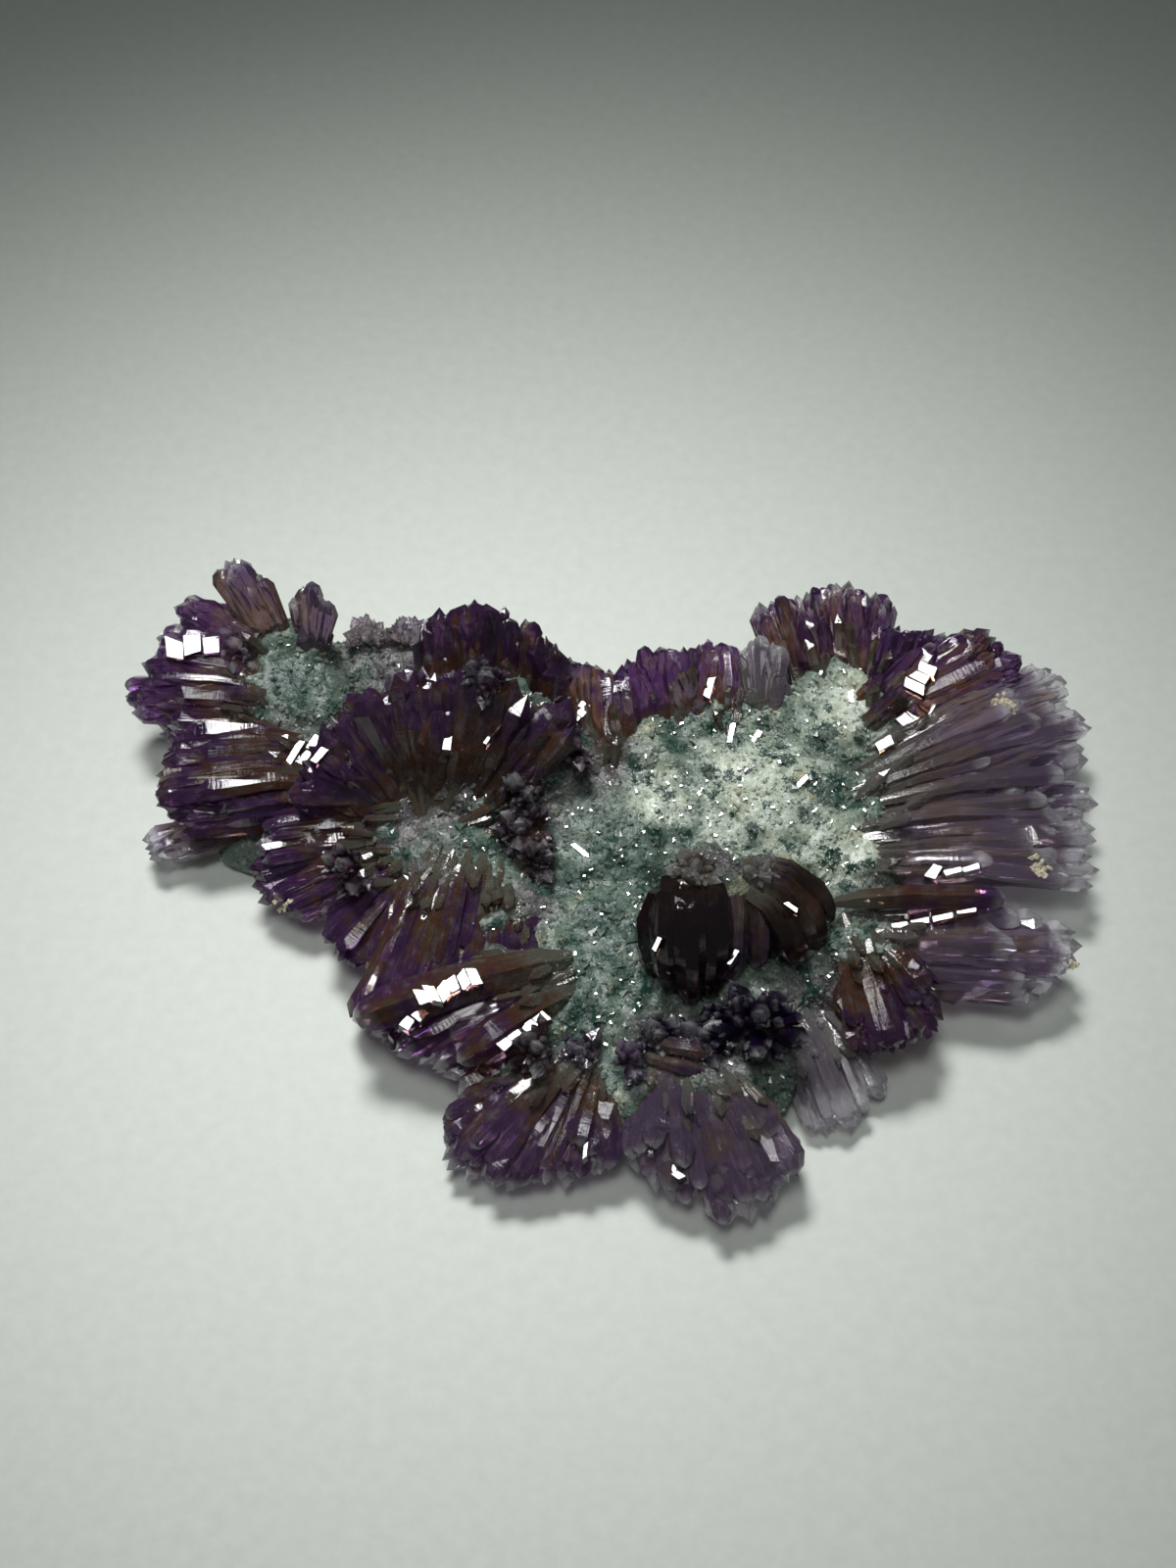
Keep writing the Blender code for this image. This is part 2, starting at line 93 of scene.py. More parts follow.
SPRAYS = (
    Spray("west spray", 5, 2, Style(2.8, 0.3, 0.1, 0.25, 0, 0.7, arch=0.07),
          ((-63, 33, 13), (-67, 39, 15), (-68, 47, 16), (-66, 54, 17)),
          ((-83, 34, 10), (-91, 40, 11), (-94, 42, 13), (-89, 51, 15), (-86, 56, 16), (-82, 63, 17))),
    Spray("north west tuft", 3, 1, Style(2.8, 0, 1, 0.15, 0.1, 0.6),
          ((-66, 52, 17), (-62, 53, 18), (-60, 52, 18)),
          ((-76, 64, 25), (-70, 64, 28), (-65, 61, 25))),
    Spray("north west knob", 2, 1, Style(2.8, 0, 0.7, 0.15, 0.15, 0.7),
          ((-57, 51, 17), (-54, 50, 16)),
          ((-58, 59, 27), (-54, 58, 27), (-51, 55, 24))),
    Spray("south west spray", 4, 2, Style(2.7, 0.2, 0.25, 0.25, 0, 0.1, arch=0.08),
          ((-64, 32, 13), (-55, 27, 16), (-51, 21, 15), (-51, 17, 12)),
          ((-82, 34, 13), (-84, 26, 15), (-85, 19, 17), (-84, 14, 15), (-78, 11, 11))),
    Spray("low west points", 2, 1, Style(3.2, 0.4, 0, 0.15, 0.2, 1.2),
          ((-69, 18, 7), (-66, 14, 7)),
          ((-87, 12, 7), (-86, 8, 6), (-81, 9, 6))),
    Spray("bowl west petal", 3, 1, Style(2.4, 0.4, 0.4, 0.15, 0, 0.3),
          ((-39, 15, 17), (-40, 10, 15), (-39, 7, 13)),
          ((-63, 11, 14), (-65, 7, 13), (-65, 1, 11), (-68, 3, 8))),
    Spray("bowl low petal", 3, 1, Style(2.4, 0.3, 0.4, 0.15, 0, 0.3),
          ((-39, 9, 13), (-37, 5, 12), (-35, 2, 12)),
          ((-65, -2, 9), (-62, -4, 8), (-56, -7, 7), (-51, -6, 8))),
    Spray("bowl south petal", 4, 1, Style(2.4, 0.3, 0.3, 0.25, 0, 0.1),
          ((-37, 5, 13), (-33, 2, 12), (-30, 1, 12)),
          ((-51, -11, 9), (-49, -15, 9), (-46, -17, 9), (-43, -15, 9), (-40, -12, 10))),
    Spray("south skirt", 5, 2, Style(2.8, 0.35, 0.45, 0.3, 0, 0.1, dive=1.5),
          ((-33, -1, 16), (-27, -3, 17), (-19, -2, 16), (-12, -3, 14)),
          ((-43, -29, 9), (-36, -29, 9), (-28, -27, 10), (-19, -23, 11), (-11, -18, 12))),
    Spray("ridge spray", 4, 2, Style(2.8, 0.4, 0.4, 0.25, 0, 0.9),
          ((-21, -18, 15), (-12, -21, 18), (-7, -26, 17), (-8, -31, 14)),
          ((-43, -29, 12), (-41, -32, 10), (-36, -36, 9), (-30, -38, 8), (-26, -39, 9))),
    Spray("south spray", 6, 2, Style(2.7, 0.35, 0.15, 0.05, 0.05, 0.8, arch=0.06),
          ((-15, -38, 12), (-10, -41, 13), (-4, -42, 13), (1, -40, 12), (4, -38, 12)),
          ((-28, -48, 9), (-27, -51, 6), (-25, -57, 6), (-18, -59, 6), (-10, -59, 6), (-4, -58, 7),
           (-1, -57, 8), (3, -56, 8))),
    Spray("south point", 5, 2, Style(2.7, 0.3, 0, 0, 0.18, 1, arch=0.06),
          ((9, -40, 12), (14, -43, 14), (21, -44, 15), (28, -43, 13)),
          ((6, -56, 8), (10, -59, 8), (16, -63, 7), (25, -67, 6), (30, -65, 7), (33, -61, 7), (36, -59, 9))),
    Spray("pale fringe", 3, 1, Style(1.9, 0, 0, 0.15, 0.55, 2),
          ((33, -31, 9), (41, -29, 9), (47, -27, 9)),
          ((39, -48, 4), (45, -49, 4), (49, -44, 4), (53, -40, 4))),
    Spray("rust spray", 4, 2, Style(2.6, 0.4, 1, 0.3, 0, 0.1),
          ((45, -18, 16), (48, -17, 18), (53, -18, 19), (54, -18, 18)),
          ((46, -33, 13), (52, -38, 12), (56, -37, 12), (61, -33, 12), (61, -27, 15), (60, -23, 18))),
    Spray("east fingers", 4, 2, Style(3.4, 0.5, 0.1, 0, 0.23, 1.6),
          ((51, -19, 13), (52, -14, 17), (54, -9, 16)),
          ((81, -23, 9), (90, -17, 10), (91, -15, 12), (80, -8, 11))),
    Spray("east spray", 8, 2, Style(2.6, 0.35, 0.15, 0, 0.26, 1.6, arch=0.06),
          ((54, 2, 13), (53, 8, 14), (53, 15, 15), (55, 23, 16), (59, 31, 17)),
          ((94, 0, 11), (95, 7, 11), (96, 15, 10), (97, 25, 10), (97, 38, 11), (95, 45, 13), (92, 47, 14))),
    Spray("east crest", 4, 2, Style(2.4, 0.4, 0.5, 0.2, 0, 0.4),
          ((53, 39, 19), (57, 37, 19), (60, 35, 18)),
          ((66, 47, 24), (76, 48, 24), (83, 47, 20), (84, 45, 18))),
    Spray("north spray", 5, 2, Style(1.9, 0.3, 0.35, 0.5, 0, 0.6),
          ((37, 43, 16), (43, 44, 18), (50, 44, 18), (55, 42, 17)),
          ((31, 61, 17), (36, 60, 21), (41, 60, 22), (46, 62, 24), (53, 62, 22), (59, 61, 19))),
    Spray("north blades", 3, 1, Style(2.8, 0.5, -0.1, 0.4, 0, 0),
          ((54, 38, 19), (57, 36, 19)),
          ((57, 52, 26), (61, 48, 25), (65, 49, 25))),
    Spray("north comb", 5, 1, Style(3, 0.4, 0.1, 0.25, 0, 0),
          ((8, 32, 15), (15, 34, 17), (23, 35, 17), (28, 36, 16)),
          ((7, 44, 20), (9, 47, 22), (14, 47, 22), (19, 47, 22), (23, 53, 18), (28, 51, 17))),
    Spray("north comb end", 2, 1, Style(2.2, 0.2, -0.1, 0.15, 0.4, 1.2),
          ((30, 37, 17), (36, 38, 17)),
          ((29, 47, 22), (33, 49, 23), (37, 47, 22))),
    Spray("saddle spray", 4, 1, Style(3, 0.4, 0.8, 0.45, 0, 0),
          ((-4, 24, 17), (2, 25, 17), (8, 28, 16)),
          ((-7, 47, 20), (-1, 45, 20), (6, 41, 19))),
    Spray("bowl crest", 4, 1, Style(4, 0.45, 0.1, 0.6, 0, 0, stagger=0.14),
          ((-31, 35, 26), (-23, 35, 28), (-16, 35, 28), (-8, 33, 25)),
          ((-31, 45, 34), (-26, 46, 38), (-19, 45, 39), (-12, 43, 37), (-5, 39, 31))),
    Spray("bowl back skirt", 4, 1, Style(2.8, 0.3, 0, 0.2, 0.1, 0.3),
          ((-40, 33, 13), (-30, 36, 15), (-20, 38, 16), (-10, 36, 15), (-2, 32, 13)),
          ((-44, 41, 14), (-35, 48, 19), (-24, 51, 22), (-12, 49, 22), (-2, 44, 18))),
    Spray("bowl wall", 6, 2, Style(3.6, 0.45, 0.8, 0.3, 0, 0),
          ((-38, 15, 16), (-35, 18, 17), (-30, 19, 18), (-23, 18, 18), (-18, 15, 16)),
          ((-50, 25, 27), (-47, 30, 31), (-37, 31, 35), (-28, 32, 37), (-19, 31, 37), (-8, 29, 32),
           (0, 26, 26))),
    Spray("bowl west wall", 3, 1, Style(2.8, 0.4, 0.5, 0.4, 0, 0),
          ((-39, 13, 15), (-39, 16, 16)),
          ((-50, 25, 27), (-56, 18, 24), (-58, 11, 20))),
    Spray("hanging rosette", 4, 2, None,
          ((16, -8, 27), (19, -11, 28), (23, -11, 28), (28, -9, 27)),
          ((9, -12, 22), (10, -20, 18), (17, -24, 16), (24, -25, 16), (31, -23, 16))),
    Spray("hanging bud", 3, 1, None,
          ((28, -7, 26), (31, -5, 25)),
          ((44, -10, 20), (43, -15, 18), (34, -17, 18))),
)

# Flat crystals that meet in the middle of the bowl, which are too fine for the solid, and how ripe they are.
FLOOR_RIPE = 0.3
FLOOR_SPRAY = Spray("bowl floor", 1, 1, Style(1.5, 0, 0.5, 0.3, 0, 0),
                    ((-35, 10, 13), (-34, 12, 13.5), (-31, 13, 14), (-28, 12, 14), (-28, 9, 13.5),
                     (-31, 7, 13)),
                    ((-44, 12, 15), (-40, 20, 18), (-30, 23, 19), (-20, 19, 18), (-16, 10, 15),
                     (-24, 1, 14)))

# A bunch of stubby crystals that point outwards from its middle, spread in degrees round its lean. Its tint
# is the warmth, smokiness, paleness and clearness of a style, and ripe scales its growth as in a stem below.
Bunch = namedtuple("Bunch", "name points width radius middle lean spread tint ripe")

BUNCHES = (
    Bunch("violet bunch", 7, 6, 11, (29, -31, 13), (0.0, -0.2, 1.0), 75, (-0.9, 1.1, 0, 0), 1),
    Bunch("petal bunch", 3, 5.5, 8, (-44, 2, 13), (-0.3, -0.5, 1.0), 45, (0.3, 0.7, 0, 0), 1),
    Bunch("wall bunch", 3, 5.5, 9, (-13, 15, 17), (0.2, -0.5, 1.0), 45, (0.1, 0.8, 0, 0.1), 1),
    Bunch("saddle bunch", 3, 5.5, 8, (-3, 24, 19), (-0.1, -0.4, 1.0), 45, (0.2, 0.7, 0, 0.2), 1),
    Bunch("rim bunch", 3, 5.5, 7.5, (-20, 30, 34), (0.1, -0.6, 0.9), 60, (-0.2, 0.7, 0, 0), 1),
    Bunch("centre bunch", 3, 5, 7, (-10, 3, 13), (0.3, -0.3, 1.0), 50, (0.2, 0.8, 0, 0.1), 1),
    Bunch("rust bunch", 3, 6, 8, (-9, -36, 13), (-0.2, -0.3, 1.0), 40, (0.9, 0.7, 0, 0), 1),
    Bunch("south bunch", 3, 5, 7, (7, -38, 12), (-0.1, 0.1, 1.0), 50, (-0.8, 0.5, 0, 0), 1),
    Bunch("west bunch", 3, 5, 8, (-69, 50, 14), (-0.2, -0.3, 1.0), 45, (0.5, 0.6, 0, 0), 1),
    # These are too fine for the solid.
    Bunch("cap bunch", 8, 5, 6, (18, -8, 26), (0.0, 0.3, 1.0), 80, (0.8, 0, 0.12, 0), 0.2),
    Bunch("bud cap bunch", 6, 4.5, 5, (30, -7, 25), (0.3, 0.3, 1.0), 70, (0.8, 0, 0.12, 0), 0.2),
    Bunch("indigo bunch", 6, 6, 8, (20, -33, 10), (-0.1, -0.2, 1.0), 70, (-0.9, 1.1, 0, 0), 2),
    Bunch("foot bunch", 5, 4.5, 6, (-2, -36, 12), (-0.1, -0.2, 1.0), 60, (-0.6, 0.6, 0, 0), 1),
    Bunch("bowl east bunch", 6, 5.5, 8, (-13, 9, 14), (-0.2, -0.3, 1.0), 60, (0.4, 0.7, 0, 0), 1),
    Bunch("south indigo bunch", 6, 5.5, 7, (12, -33, 11), (-0.1, -0.2, 1.0), 70, (-0.9, 1.1, 0, 0), 2),
    Bunch("neck bunch", 7, 5, 6, (-37, 54.5, 11.5), (0.0, 0.5, 1.0), 75, (-0.2, 0.05, 0.3, 0.5), 0.7),
    Bunch("neck ridge bunch", 7, 5, 5.5, (-45, 54.5, 12), (0.0, 0.5, 1.0), 75, (-0.2, 0.05, 0.3, 0.5), 0.7),
)

# A flat-bottomed lumpy swelling of the matrix.
Swelling = namedtuple("Swelling", "name middle radii turn height")

SWELLINGS = (
    Swelling("east ground", (33, 19), (29, 26), 10, 17.0),
    Swelling("north ground", (46, 33), (16, 14), 0, 19.0),
    Swelling("comb ground", (15, 28), (18, 13), 0, 17.5),
    Swelling("saddle ground", (1, 13), (18, 18), 0, 17.0),
    Swelling("south ground", (2, -18), (19, 25), -8, 15.5),
    Swelling("south foot", (13, -38), (27, 11), 5, 13.5),
    Swelling("bunch ground", (27, -24), (16, 13), 0, 13.0),
    Swelling("east foot", (46, -12), (16, 16), 0, 14.5),
    Swelling("rust knoll", (49, -14), (10, 8), 0, 19.0),
    Swelling("rosette stalk", (22, -5), (9, 8), 0, 28.5),
    Swelling("bowl ground", (-29, 9), (17, 15), 0, 15.0),
    Swelling("bowl back", (-20, 27), (26, 14), -5, 24.0),
    Swelling("bowl rim", (-20, 34), (17, 8), -5, 30.0),
    Swelling("skirt ground", (-20, -5), (18, 12), 0, 16.0),
    Swelling("west slope", (-48, 24), (16, 14), 30, 15.5),
    Swelling("west ground", (-60, 43), (14, 16), 0, 16.5),
    Swelling("neck", (-42, 50), (20, 9), -8, 13.0),
    Swelling("low west foot", (-64, 19), (11, 10), 0, 9.0),
)

# Styles of the thick bent crystals, how ripe the dark ones are, then the crystals, as start, middle, tip,
# width, depth, sides and style.
DARK = Style(2.6, 0.7, 0.6, 1.4, 0, 0)
CAP = Style(2.6, 0.7, 0.5, 0.9, 0, 0)
AMBER = Style(2.6, 0.8, 0.8, 0.35, 0.1, 0.3)
RIDGE = Style(2.6, 0.9, 0.5, 0.25, 0, 0.6)
RIPENESS = {DARK: 2.2, CAP: 0.7}
FINGERS = (
    ((18, -7, 21), (17, -14, 22), (17, -23, 11.5), 15.0, 15.0, 10, DARK),
    ((15, -8, 22), (11, -14, 21), (12, -21, 12), 7.5, 9.0, 8, DARK),
    ((16, -8, 24), (13.5, -15, 25), (14, -24, 12.5), 7.5, 8.0, 9, DARK),
    ((19, -8, 24), (17.5, -16, 25.5), (17.5, -26, 12), 8.0, 8.0, 10, DARK),
    ((21, -8, 24), (21.5, -15, 25), (21, -25, 12.5), 7.0, 8.0, 9, DARK),
    ((24, -8, 25), (25.5, -14, 22.5), (24.5, -22, 13), 5.5, 6.0, 6, AMBER),
    ((27, -9, 25), (30, -14, 20), (29, -19, 13), 4.5, 6.0, 6, AMBER),
    ((26, -6, 21), (34, -10, 20), (39, -15, 13), 13.0, 9.0, 10, CAP),
    ((26, -9, 24), (33, -13, 22), (37, -19, 13.5), 6.5, 6.0, 7, CAP),
    ((26, -7, 25), (36, -10, 23.5), (41, -16, 15), 7.0, 6.0, 7, CAP),
    ((27, -4, 24), (37, -6, 22.5), (43, -12, 16), 6.5, 6.0, 7, CAP),
    ((-4, -18, 14.5), (-24, -24, 16.0), (-43, -30, 13.5), 9.5, 9.0, 6, RIDGE),
    ((-3, -24, 13.5), (-14, -31, 15.5), (-24, -38, 13), 7.0, 8.0, 6, RIDGE),
    ((44, -8, 17), (59, -8, 19.5), (75, -8, 18), 5.0, 6.0, 6, RIDGE),
    ((50, 30, 14), (60, 38, 19), (66, 46, 23), 6.0, 7.0, 6, RIDGE),
    ((9, -33, 13), (15, -36, 15), (22, -36, 14), 3.6, 3.6, 8, AMBER),
    ((8, -36, 12), (14, -39, 14), (20, -40, 13), 3.2, 3.2, 8, AMBER),
)

# Ends of a crystal, as rings at a distance from the tip in half widths and the share of the full girth there.
POINTED = ((1.0, 1.0),)
BLUNT = ((1.0, 1.0), (0.3, 0.62))
ROUNDED = ((1.6, 1.0), (1.0, 0.93), (0.5, 0.76), (0.15, 0.42))

FINE_SLOPE = 1.3
BODY_SLOPE = 2.6
ROUND_SLOPE = 1.4
ROUND_FROM = 0.5
BACK_SLOPE = 3.6
UPPER_TIER_SLOPE = 1.6
BODY_PULLED = 0.17
BODY_GIRTH = (1.05, 0.92)
BODY_PROUD = 0.12
BODY_LIFT = 0.03
BODY_CLOUDED = 3.0
# The fine crystals of a petal's rim: how far they span it, shift, rise, and draw back with the square of
# their distance from its middle, and how broad and deep they are. Then the same for the streaks on its back,
# with how far they draw back from the tip, and for the two low ones underneath.
FINE_SPAN, FINE_SHIFT, FINE_LIFT, FINE_CURVE = 0.94, 0.05, (-0.2, 0.08), 1.5
FINE_WIDTH, FINE_DEPTH = (1.25, 1.8), (0.3, 0.5)
BACK_SPAN, BACK_SHIFT, BACK_LIFT, BACK_CURVE = 0.8, 0.06, (0.12, 0.25), 1.2
BACK_WIDTH, BACK_DEPTH, BACK_PULLED, BACK_CLOUDED = (0.9, 1.6), (0.4, 0.52), (0.08, 0.4), 8.0
LOW_SPAN, LOW_SHIFT, LOW_LIFT, LOW_GIRTH = 0.5, 0.08, -0.27, 0.4
LOW_PULLED, LOW_CLOUDED = (0.1, 0.25), 4.0
PETAL_ARCH_VARIES = (0.4, 1.6)
MOST_POINTED = 0.6
BEND_STEP = 0.05
RING_STEP = 0.05
SMOOTHS = 0.9
JITTER_SMOOTHED = 0.7
TWIST = 0.9
PETAL_SWAY = 1.5
BODY_RINGS = ((0.0, 0.45), (0.2, 0.95), (0.55, 1.0))
TIER_DIP = 0.5
ROOT_SINK = 0.7
CLEAR_REACH = 4.0
FRINGE_PITCH = 3.4
FRINGE_START = (0.58, 0.78)
FRINGE_REACH = (0.86, 0.97)
FRINGE_LIFT = (-2.2, 0.6)
FRINGE_WIDTH = (1.7, 3.0)
FRINGE_SINK = 0.5
FRINGE_ARCH = 0.02
FRINGE_CLEAR_REACH = 2.8
FILL_PITCH = 2.6
FILL_WIDTH = (2.8, 6.0)
FILL_ROOT = (1.0, 9.0)
FILL_DIVE = 2.6
FILL_SINK = 3.0
FILL_DEPTH_SHARE = (0.55, 0.85)
FILL_DROP = (-0.8, 1.8)
FILL_PULLED = ((0.8, 0.99), (0.6, 1.15))
FILL_ARCH_VARIES = (0.8, 1.6)
FILL_ROOT_SHARE = 0.45
FILL_CLOUDED = 2.0
COLLAR_PITCH = 0.9
COLLAR_LENGTH = (4.0, 9.0)
COLLAR_WIDTH = (1.4, 3.0)
COLLAR_SHIFT = 4.0
COLLAR_SINK = 1.5
COLLAR_RISE = (0.1, 0.7)
COLLAR_LEAN = 0.35
COLLAR_RIPE = 0.3
COLLAR_CLOUDED = 6.0
SHORT_ROOT = 0.8
FINGER_ROOT_SHARE = 0.75
BUNCH_FINE = 9
BUNCH_GIRTH = 0.7
BUNCH_LEAN = 0.5
BUNCH_FINE_WIDTH = (0.22, 0.42)
BUNCH_FINE_REACH = (0.65, 0.98)
BUNCH_FINE_ROOT = 0.7
BUNCH_CLOUDED = (2.0, 3.0)
# Nothing but the matrix comes lower than this, so that the specimen rests on its flat underside.
LOWEST = (0.2, 0.7)
EDGE_ANGLE = math.radians(28)
# How far apart, in millimetres, the streaks of two petals are read.
HOME_STEP = 17.3
# Edges up to this length are taken away, and so are parts of the union with fewer faces than this.
CRUMB_EDGE = 0.0001
CRUMB_FACES = 40

# A crystal to be made. Its path is a start, a middle and a tip. left_extra is added to the millimetres left
# to the tip, which keeps the tip from clearing. home sets its streaks apart from those of other petals. ripe
# scales the share of growth, so that a crystal with a low number keeps the colour of a root all along.
STEM_FIELDS = "path width depth root_share slope end left_extra home style sides ripe"
Stem = namedtuple("Stem", STEM_FIELDS, defaults=(SIDES, 1))


def place(corner):
    """A point of the tables, in metres from the middle of the outline."""
    return (corner - OUTLINE_MIDDLE) * MM


def clamp(value, limits):
    return max(limits[0], min(value, limits[1]))


def along(points, share):
    """The point at share, from 0 to 1, of evenly read points."""
    spot = clamp(share, (0.0, 1.0)) * (len(points) - 1)
    before = min(int(spot), len(points) - 2)
    return Vector(points[before]).lerp(Vector(points[before + 1]), spot - before)


def line_length(points):
    return sum((Vector(after) - Vector(before)).length for before, after in zip(points, points[1:]))


def band(low, high, sides):
    """The four-sided faces between two rings of corners, from the number of each ring's first corner."""
    for corner in range(sides):
        after = (corner + 1) % sides
        yield low + corner, low + after, high + after, high + corner


def fan(low, top, sides):
    """The three-sided faces between a ring of corners and one corner at its top."""
    for corner in range(sides):
        yield low + corner, low + (corner + 1) % sides, top


def scattered(rng, reach):
    """A step in any direction, up to reach along each axis."""
    return Vector([rng.uniform(-reach, reach) for _ in range(3)])


def skip_corner_draws(rng):
    for _ in range(DRAWS_PER_CRYSTAL):
        rng.random()


def spray_petals(spray):
    """Start, tip, width, depth, root share and tier of each petal, as the solid has them."""
    rng = random.Random(spray.name)
    for tier in range(spray.tiers):
        count = max(2, round(spray.petals * TIER_THINNING**tier))
        pulled = 1 - TIER_SETBACK * tier
        width = clamp(line_length(spray.tips) * pulled / count * PETAL_GIRTH, PETAL_WIDTH)
        root_share = clamp(line_length(spray.roots) / count * PETAL_GIRTH / width, PETAL_ROOT_SHARE)
        for number in range(count):
            share = (number + 0.5 + rng.uniform(-PETAL_SHIFT, PETAL_SHIFT)) / count
            root = along(spray.roots, share) - Vector((0, 0, ROOT_DROP))
            tip = root.lerp(along(spray.tips, share), pulled * rng.uniform(*PETAL_REACH))
            tip += Vector((0, 0, TIER_RISE * tier + rng.uniform(-1, 1)))
            hidden = LOWER_TIER_START if tier < spray.tiers - 1 else 0.0
            start = root.lerp(tip, hidden) - (tip - root).normalized() * SUNK_ROOT
            wide = width * rng.uniform(*WIDTH_VARIES)
            yield start, tip, wide, wide * rng.uniform(*PETAL_DEPTH_SHARE), root_share, tier
            skip_corner_draws(rng)


def bunch_points(bunch):
    """Start, tip and width of each crystal of a bunch, as the solid has them."""
    rng = random.Random(bunch.name)
    turn = Vector((0, 0, 1)).rotation_difference(Vector(bunch.lean))
    golden = math.pi * (3 - math.sqrt(5))
    middle = Vector(bunch.middle)
    for number in range(bunch.points):
        tilt = math.radians(bunch.spread) * math.sqrt(number / (bunch.points - 1))
        heading = golden * number + rng.uniform(-BUNCH_HEADING, BUNCH_HEADING)
        way = Vector((math.sin(tilt) * math.cos(heading), math.sin(tilt) * math.sin(heading), math.cos(tilt)))
        way.rotate(turn)
        width = bunch.width * rng.uniform(*WIDTH_VARIES)
        tip = middle + way * bunch.radius * rng.uniform(*BUNCH_REACH)
        yield middle + way * BUNCH_START * number, tip, width
        skip_corner_draws(rng)


def frame_of(start, tip):
    """The direction of growth, and the level and upward directions across it."""
    axis = (tip - start).normalized()
    level = Vector((0, 0, 1)).cross(axis)
    side = level.normalized() if level.length > 0.05 else Vector((1, 0, 0))
    return axis, side, axis.cross(side)


def bent(path, share):
    """The point at share of the smooth bend through a start, a middle and a tip."""
    start, middle, tip = path
    pull = middle * 2 - (start + tip) * 0.5
    return start * (1 - share) ** 2 + pull * 2 * share * (1 - share) + tip * share**2


def arched(start, tip, arch):
    """A path that rises above the straight line from start to tip by a share of its length."""
    top = frame_of(start, tip)[2]
    return start, (start + tip) * 0.5 + top * arch * (tip - start).length, tip


def crystal(stem, rng):
    """Corners, faces, the places of the corners in the crystal, and the length of a prism with a point."""
    start, _, tip = stem.path
    length = (tip - start).length
    half = 0.25 * (stem.width + stem.depth)
    rough = 1 - SMOOTHS * stem.style.smooth
    twist = rng.uniform(-1, 1) * TWIST * rough
    sides = stem.sides
    jitter = CORNER_JITTER * (1 - JITTER_SMOOTHED * (1 - rough)) * SIDES / sides
    stagger_most = SHOULDER_STAGGER * half * stem.slope * SIDES / sides
    grows = [0.5 * (1 + rng.uniform(-jitter, jitter)) for _ in range(sides)]
    staggers = [rng.uniform(-1, 1) * stagger_most for _ in range(sides)]
    reach = min(half * stem.slope * stem.end[0][0], MOST_POINTED * length)
    shoulder = 1 - reach / length
    rings = []
    step = RING_STEP * rough
    for way, girth in BODY_RINGS:
        girth *= stem.root_share + (1 - stem.root_share) * way
        rings.append((shoulder * way, girth * (1 + rng.uniform(-step, step)), 0.0))
    for away, girth in stem.end:
        rings.append((1 - reach * away / stem.end[0][0] / length, girth, away / stem.end[0][0]))
    corners, places = [], []
    lowest = rng.uniform(*LOWEST)
    for share, girth, stagger in rings:
        middle = bent(stem.path, share)
        ahead = bent(stem.path, share + BEND_STEP) - bent(stem.path, share - BEND_STEP)
        _, side, top = frame_of(middle, middle + ahead)
        axis = ahead.normalized()
        for corner in range(sides):
            angle = 2 * math.pi * (corner + 0.5) / sides + twist
            across = math.sin(angle) * stem.width * grows[corner] * girth
            above = math.cos(angle) * stem.depth * grows[corner] * girth
            shift = staggers[corner] * stagger
            corner_spot = middle + side * across + top * above + axis * shift
            corner_spot.z = max(corner_spot.z, lowest)
            corners.append(corner_spot)
            places.append((across, above, share * length + shift))
    drift = 0.5 * APEX_DRIFT * stem.end[-1][1]
    _, side, top = frame_of(bent(stem.path, 1 - BEND_STEP), tip)
    across, above = rng.uniform(-1, 1) * stem.width * drift, rng.uniform(-1, 1) * stem.depth * drift
    corners.append(tip + side * across + top * above)
    places.append((across, above, length))
    faces = [tuple(reversed(range(sides)))]
    for ring in range(len(rings) - 1):
        faces += band(ring * sides, (ring + 1) * sides, sides)
    faces += fan((len(rings) - 1) * sides, len(corners) - 1, sides)
    return corners, faces, places, length


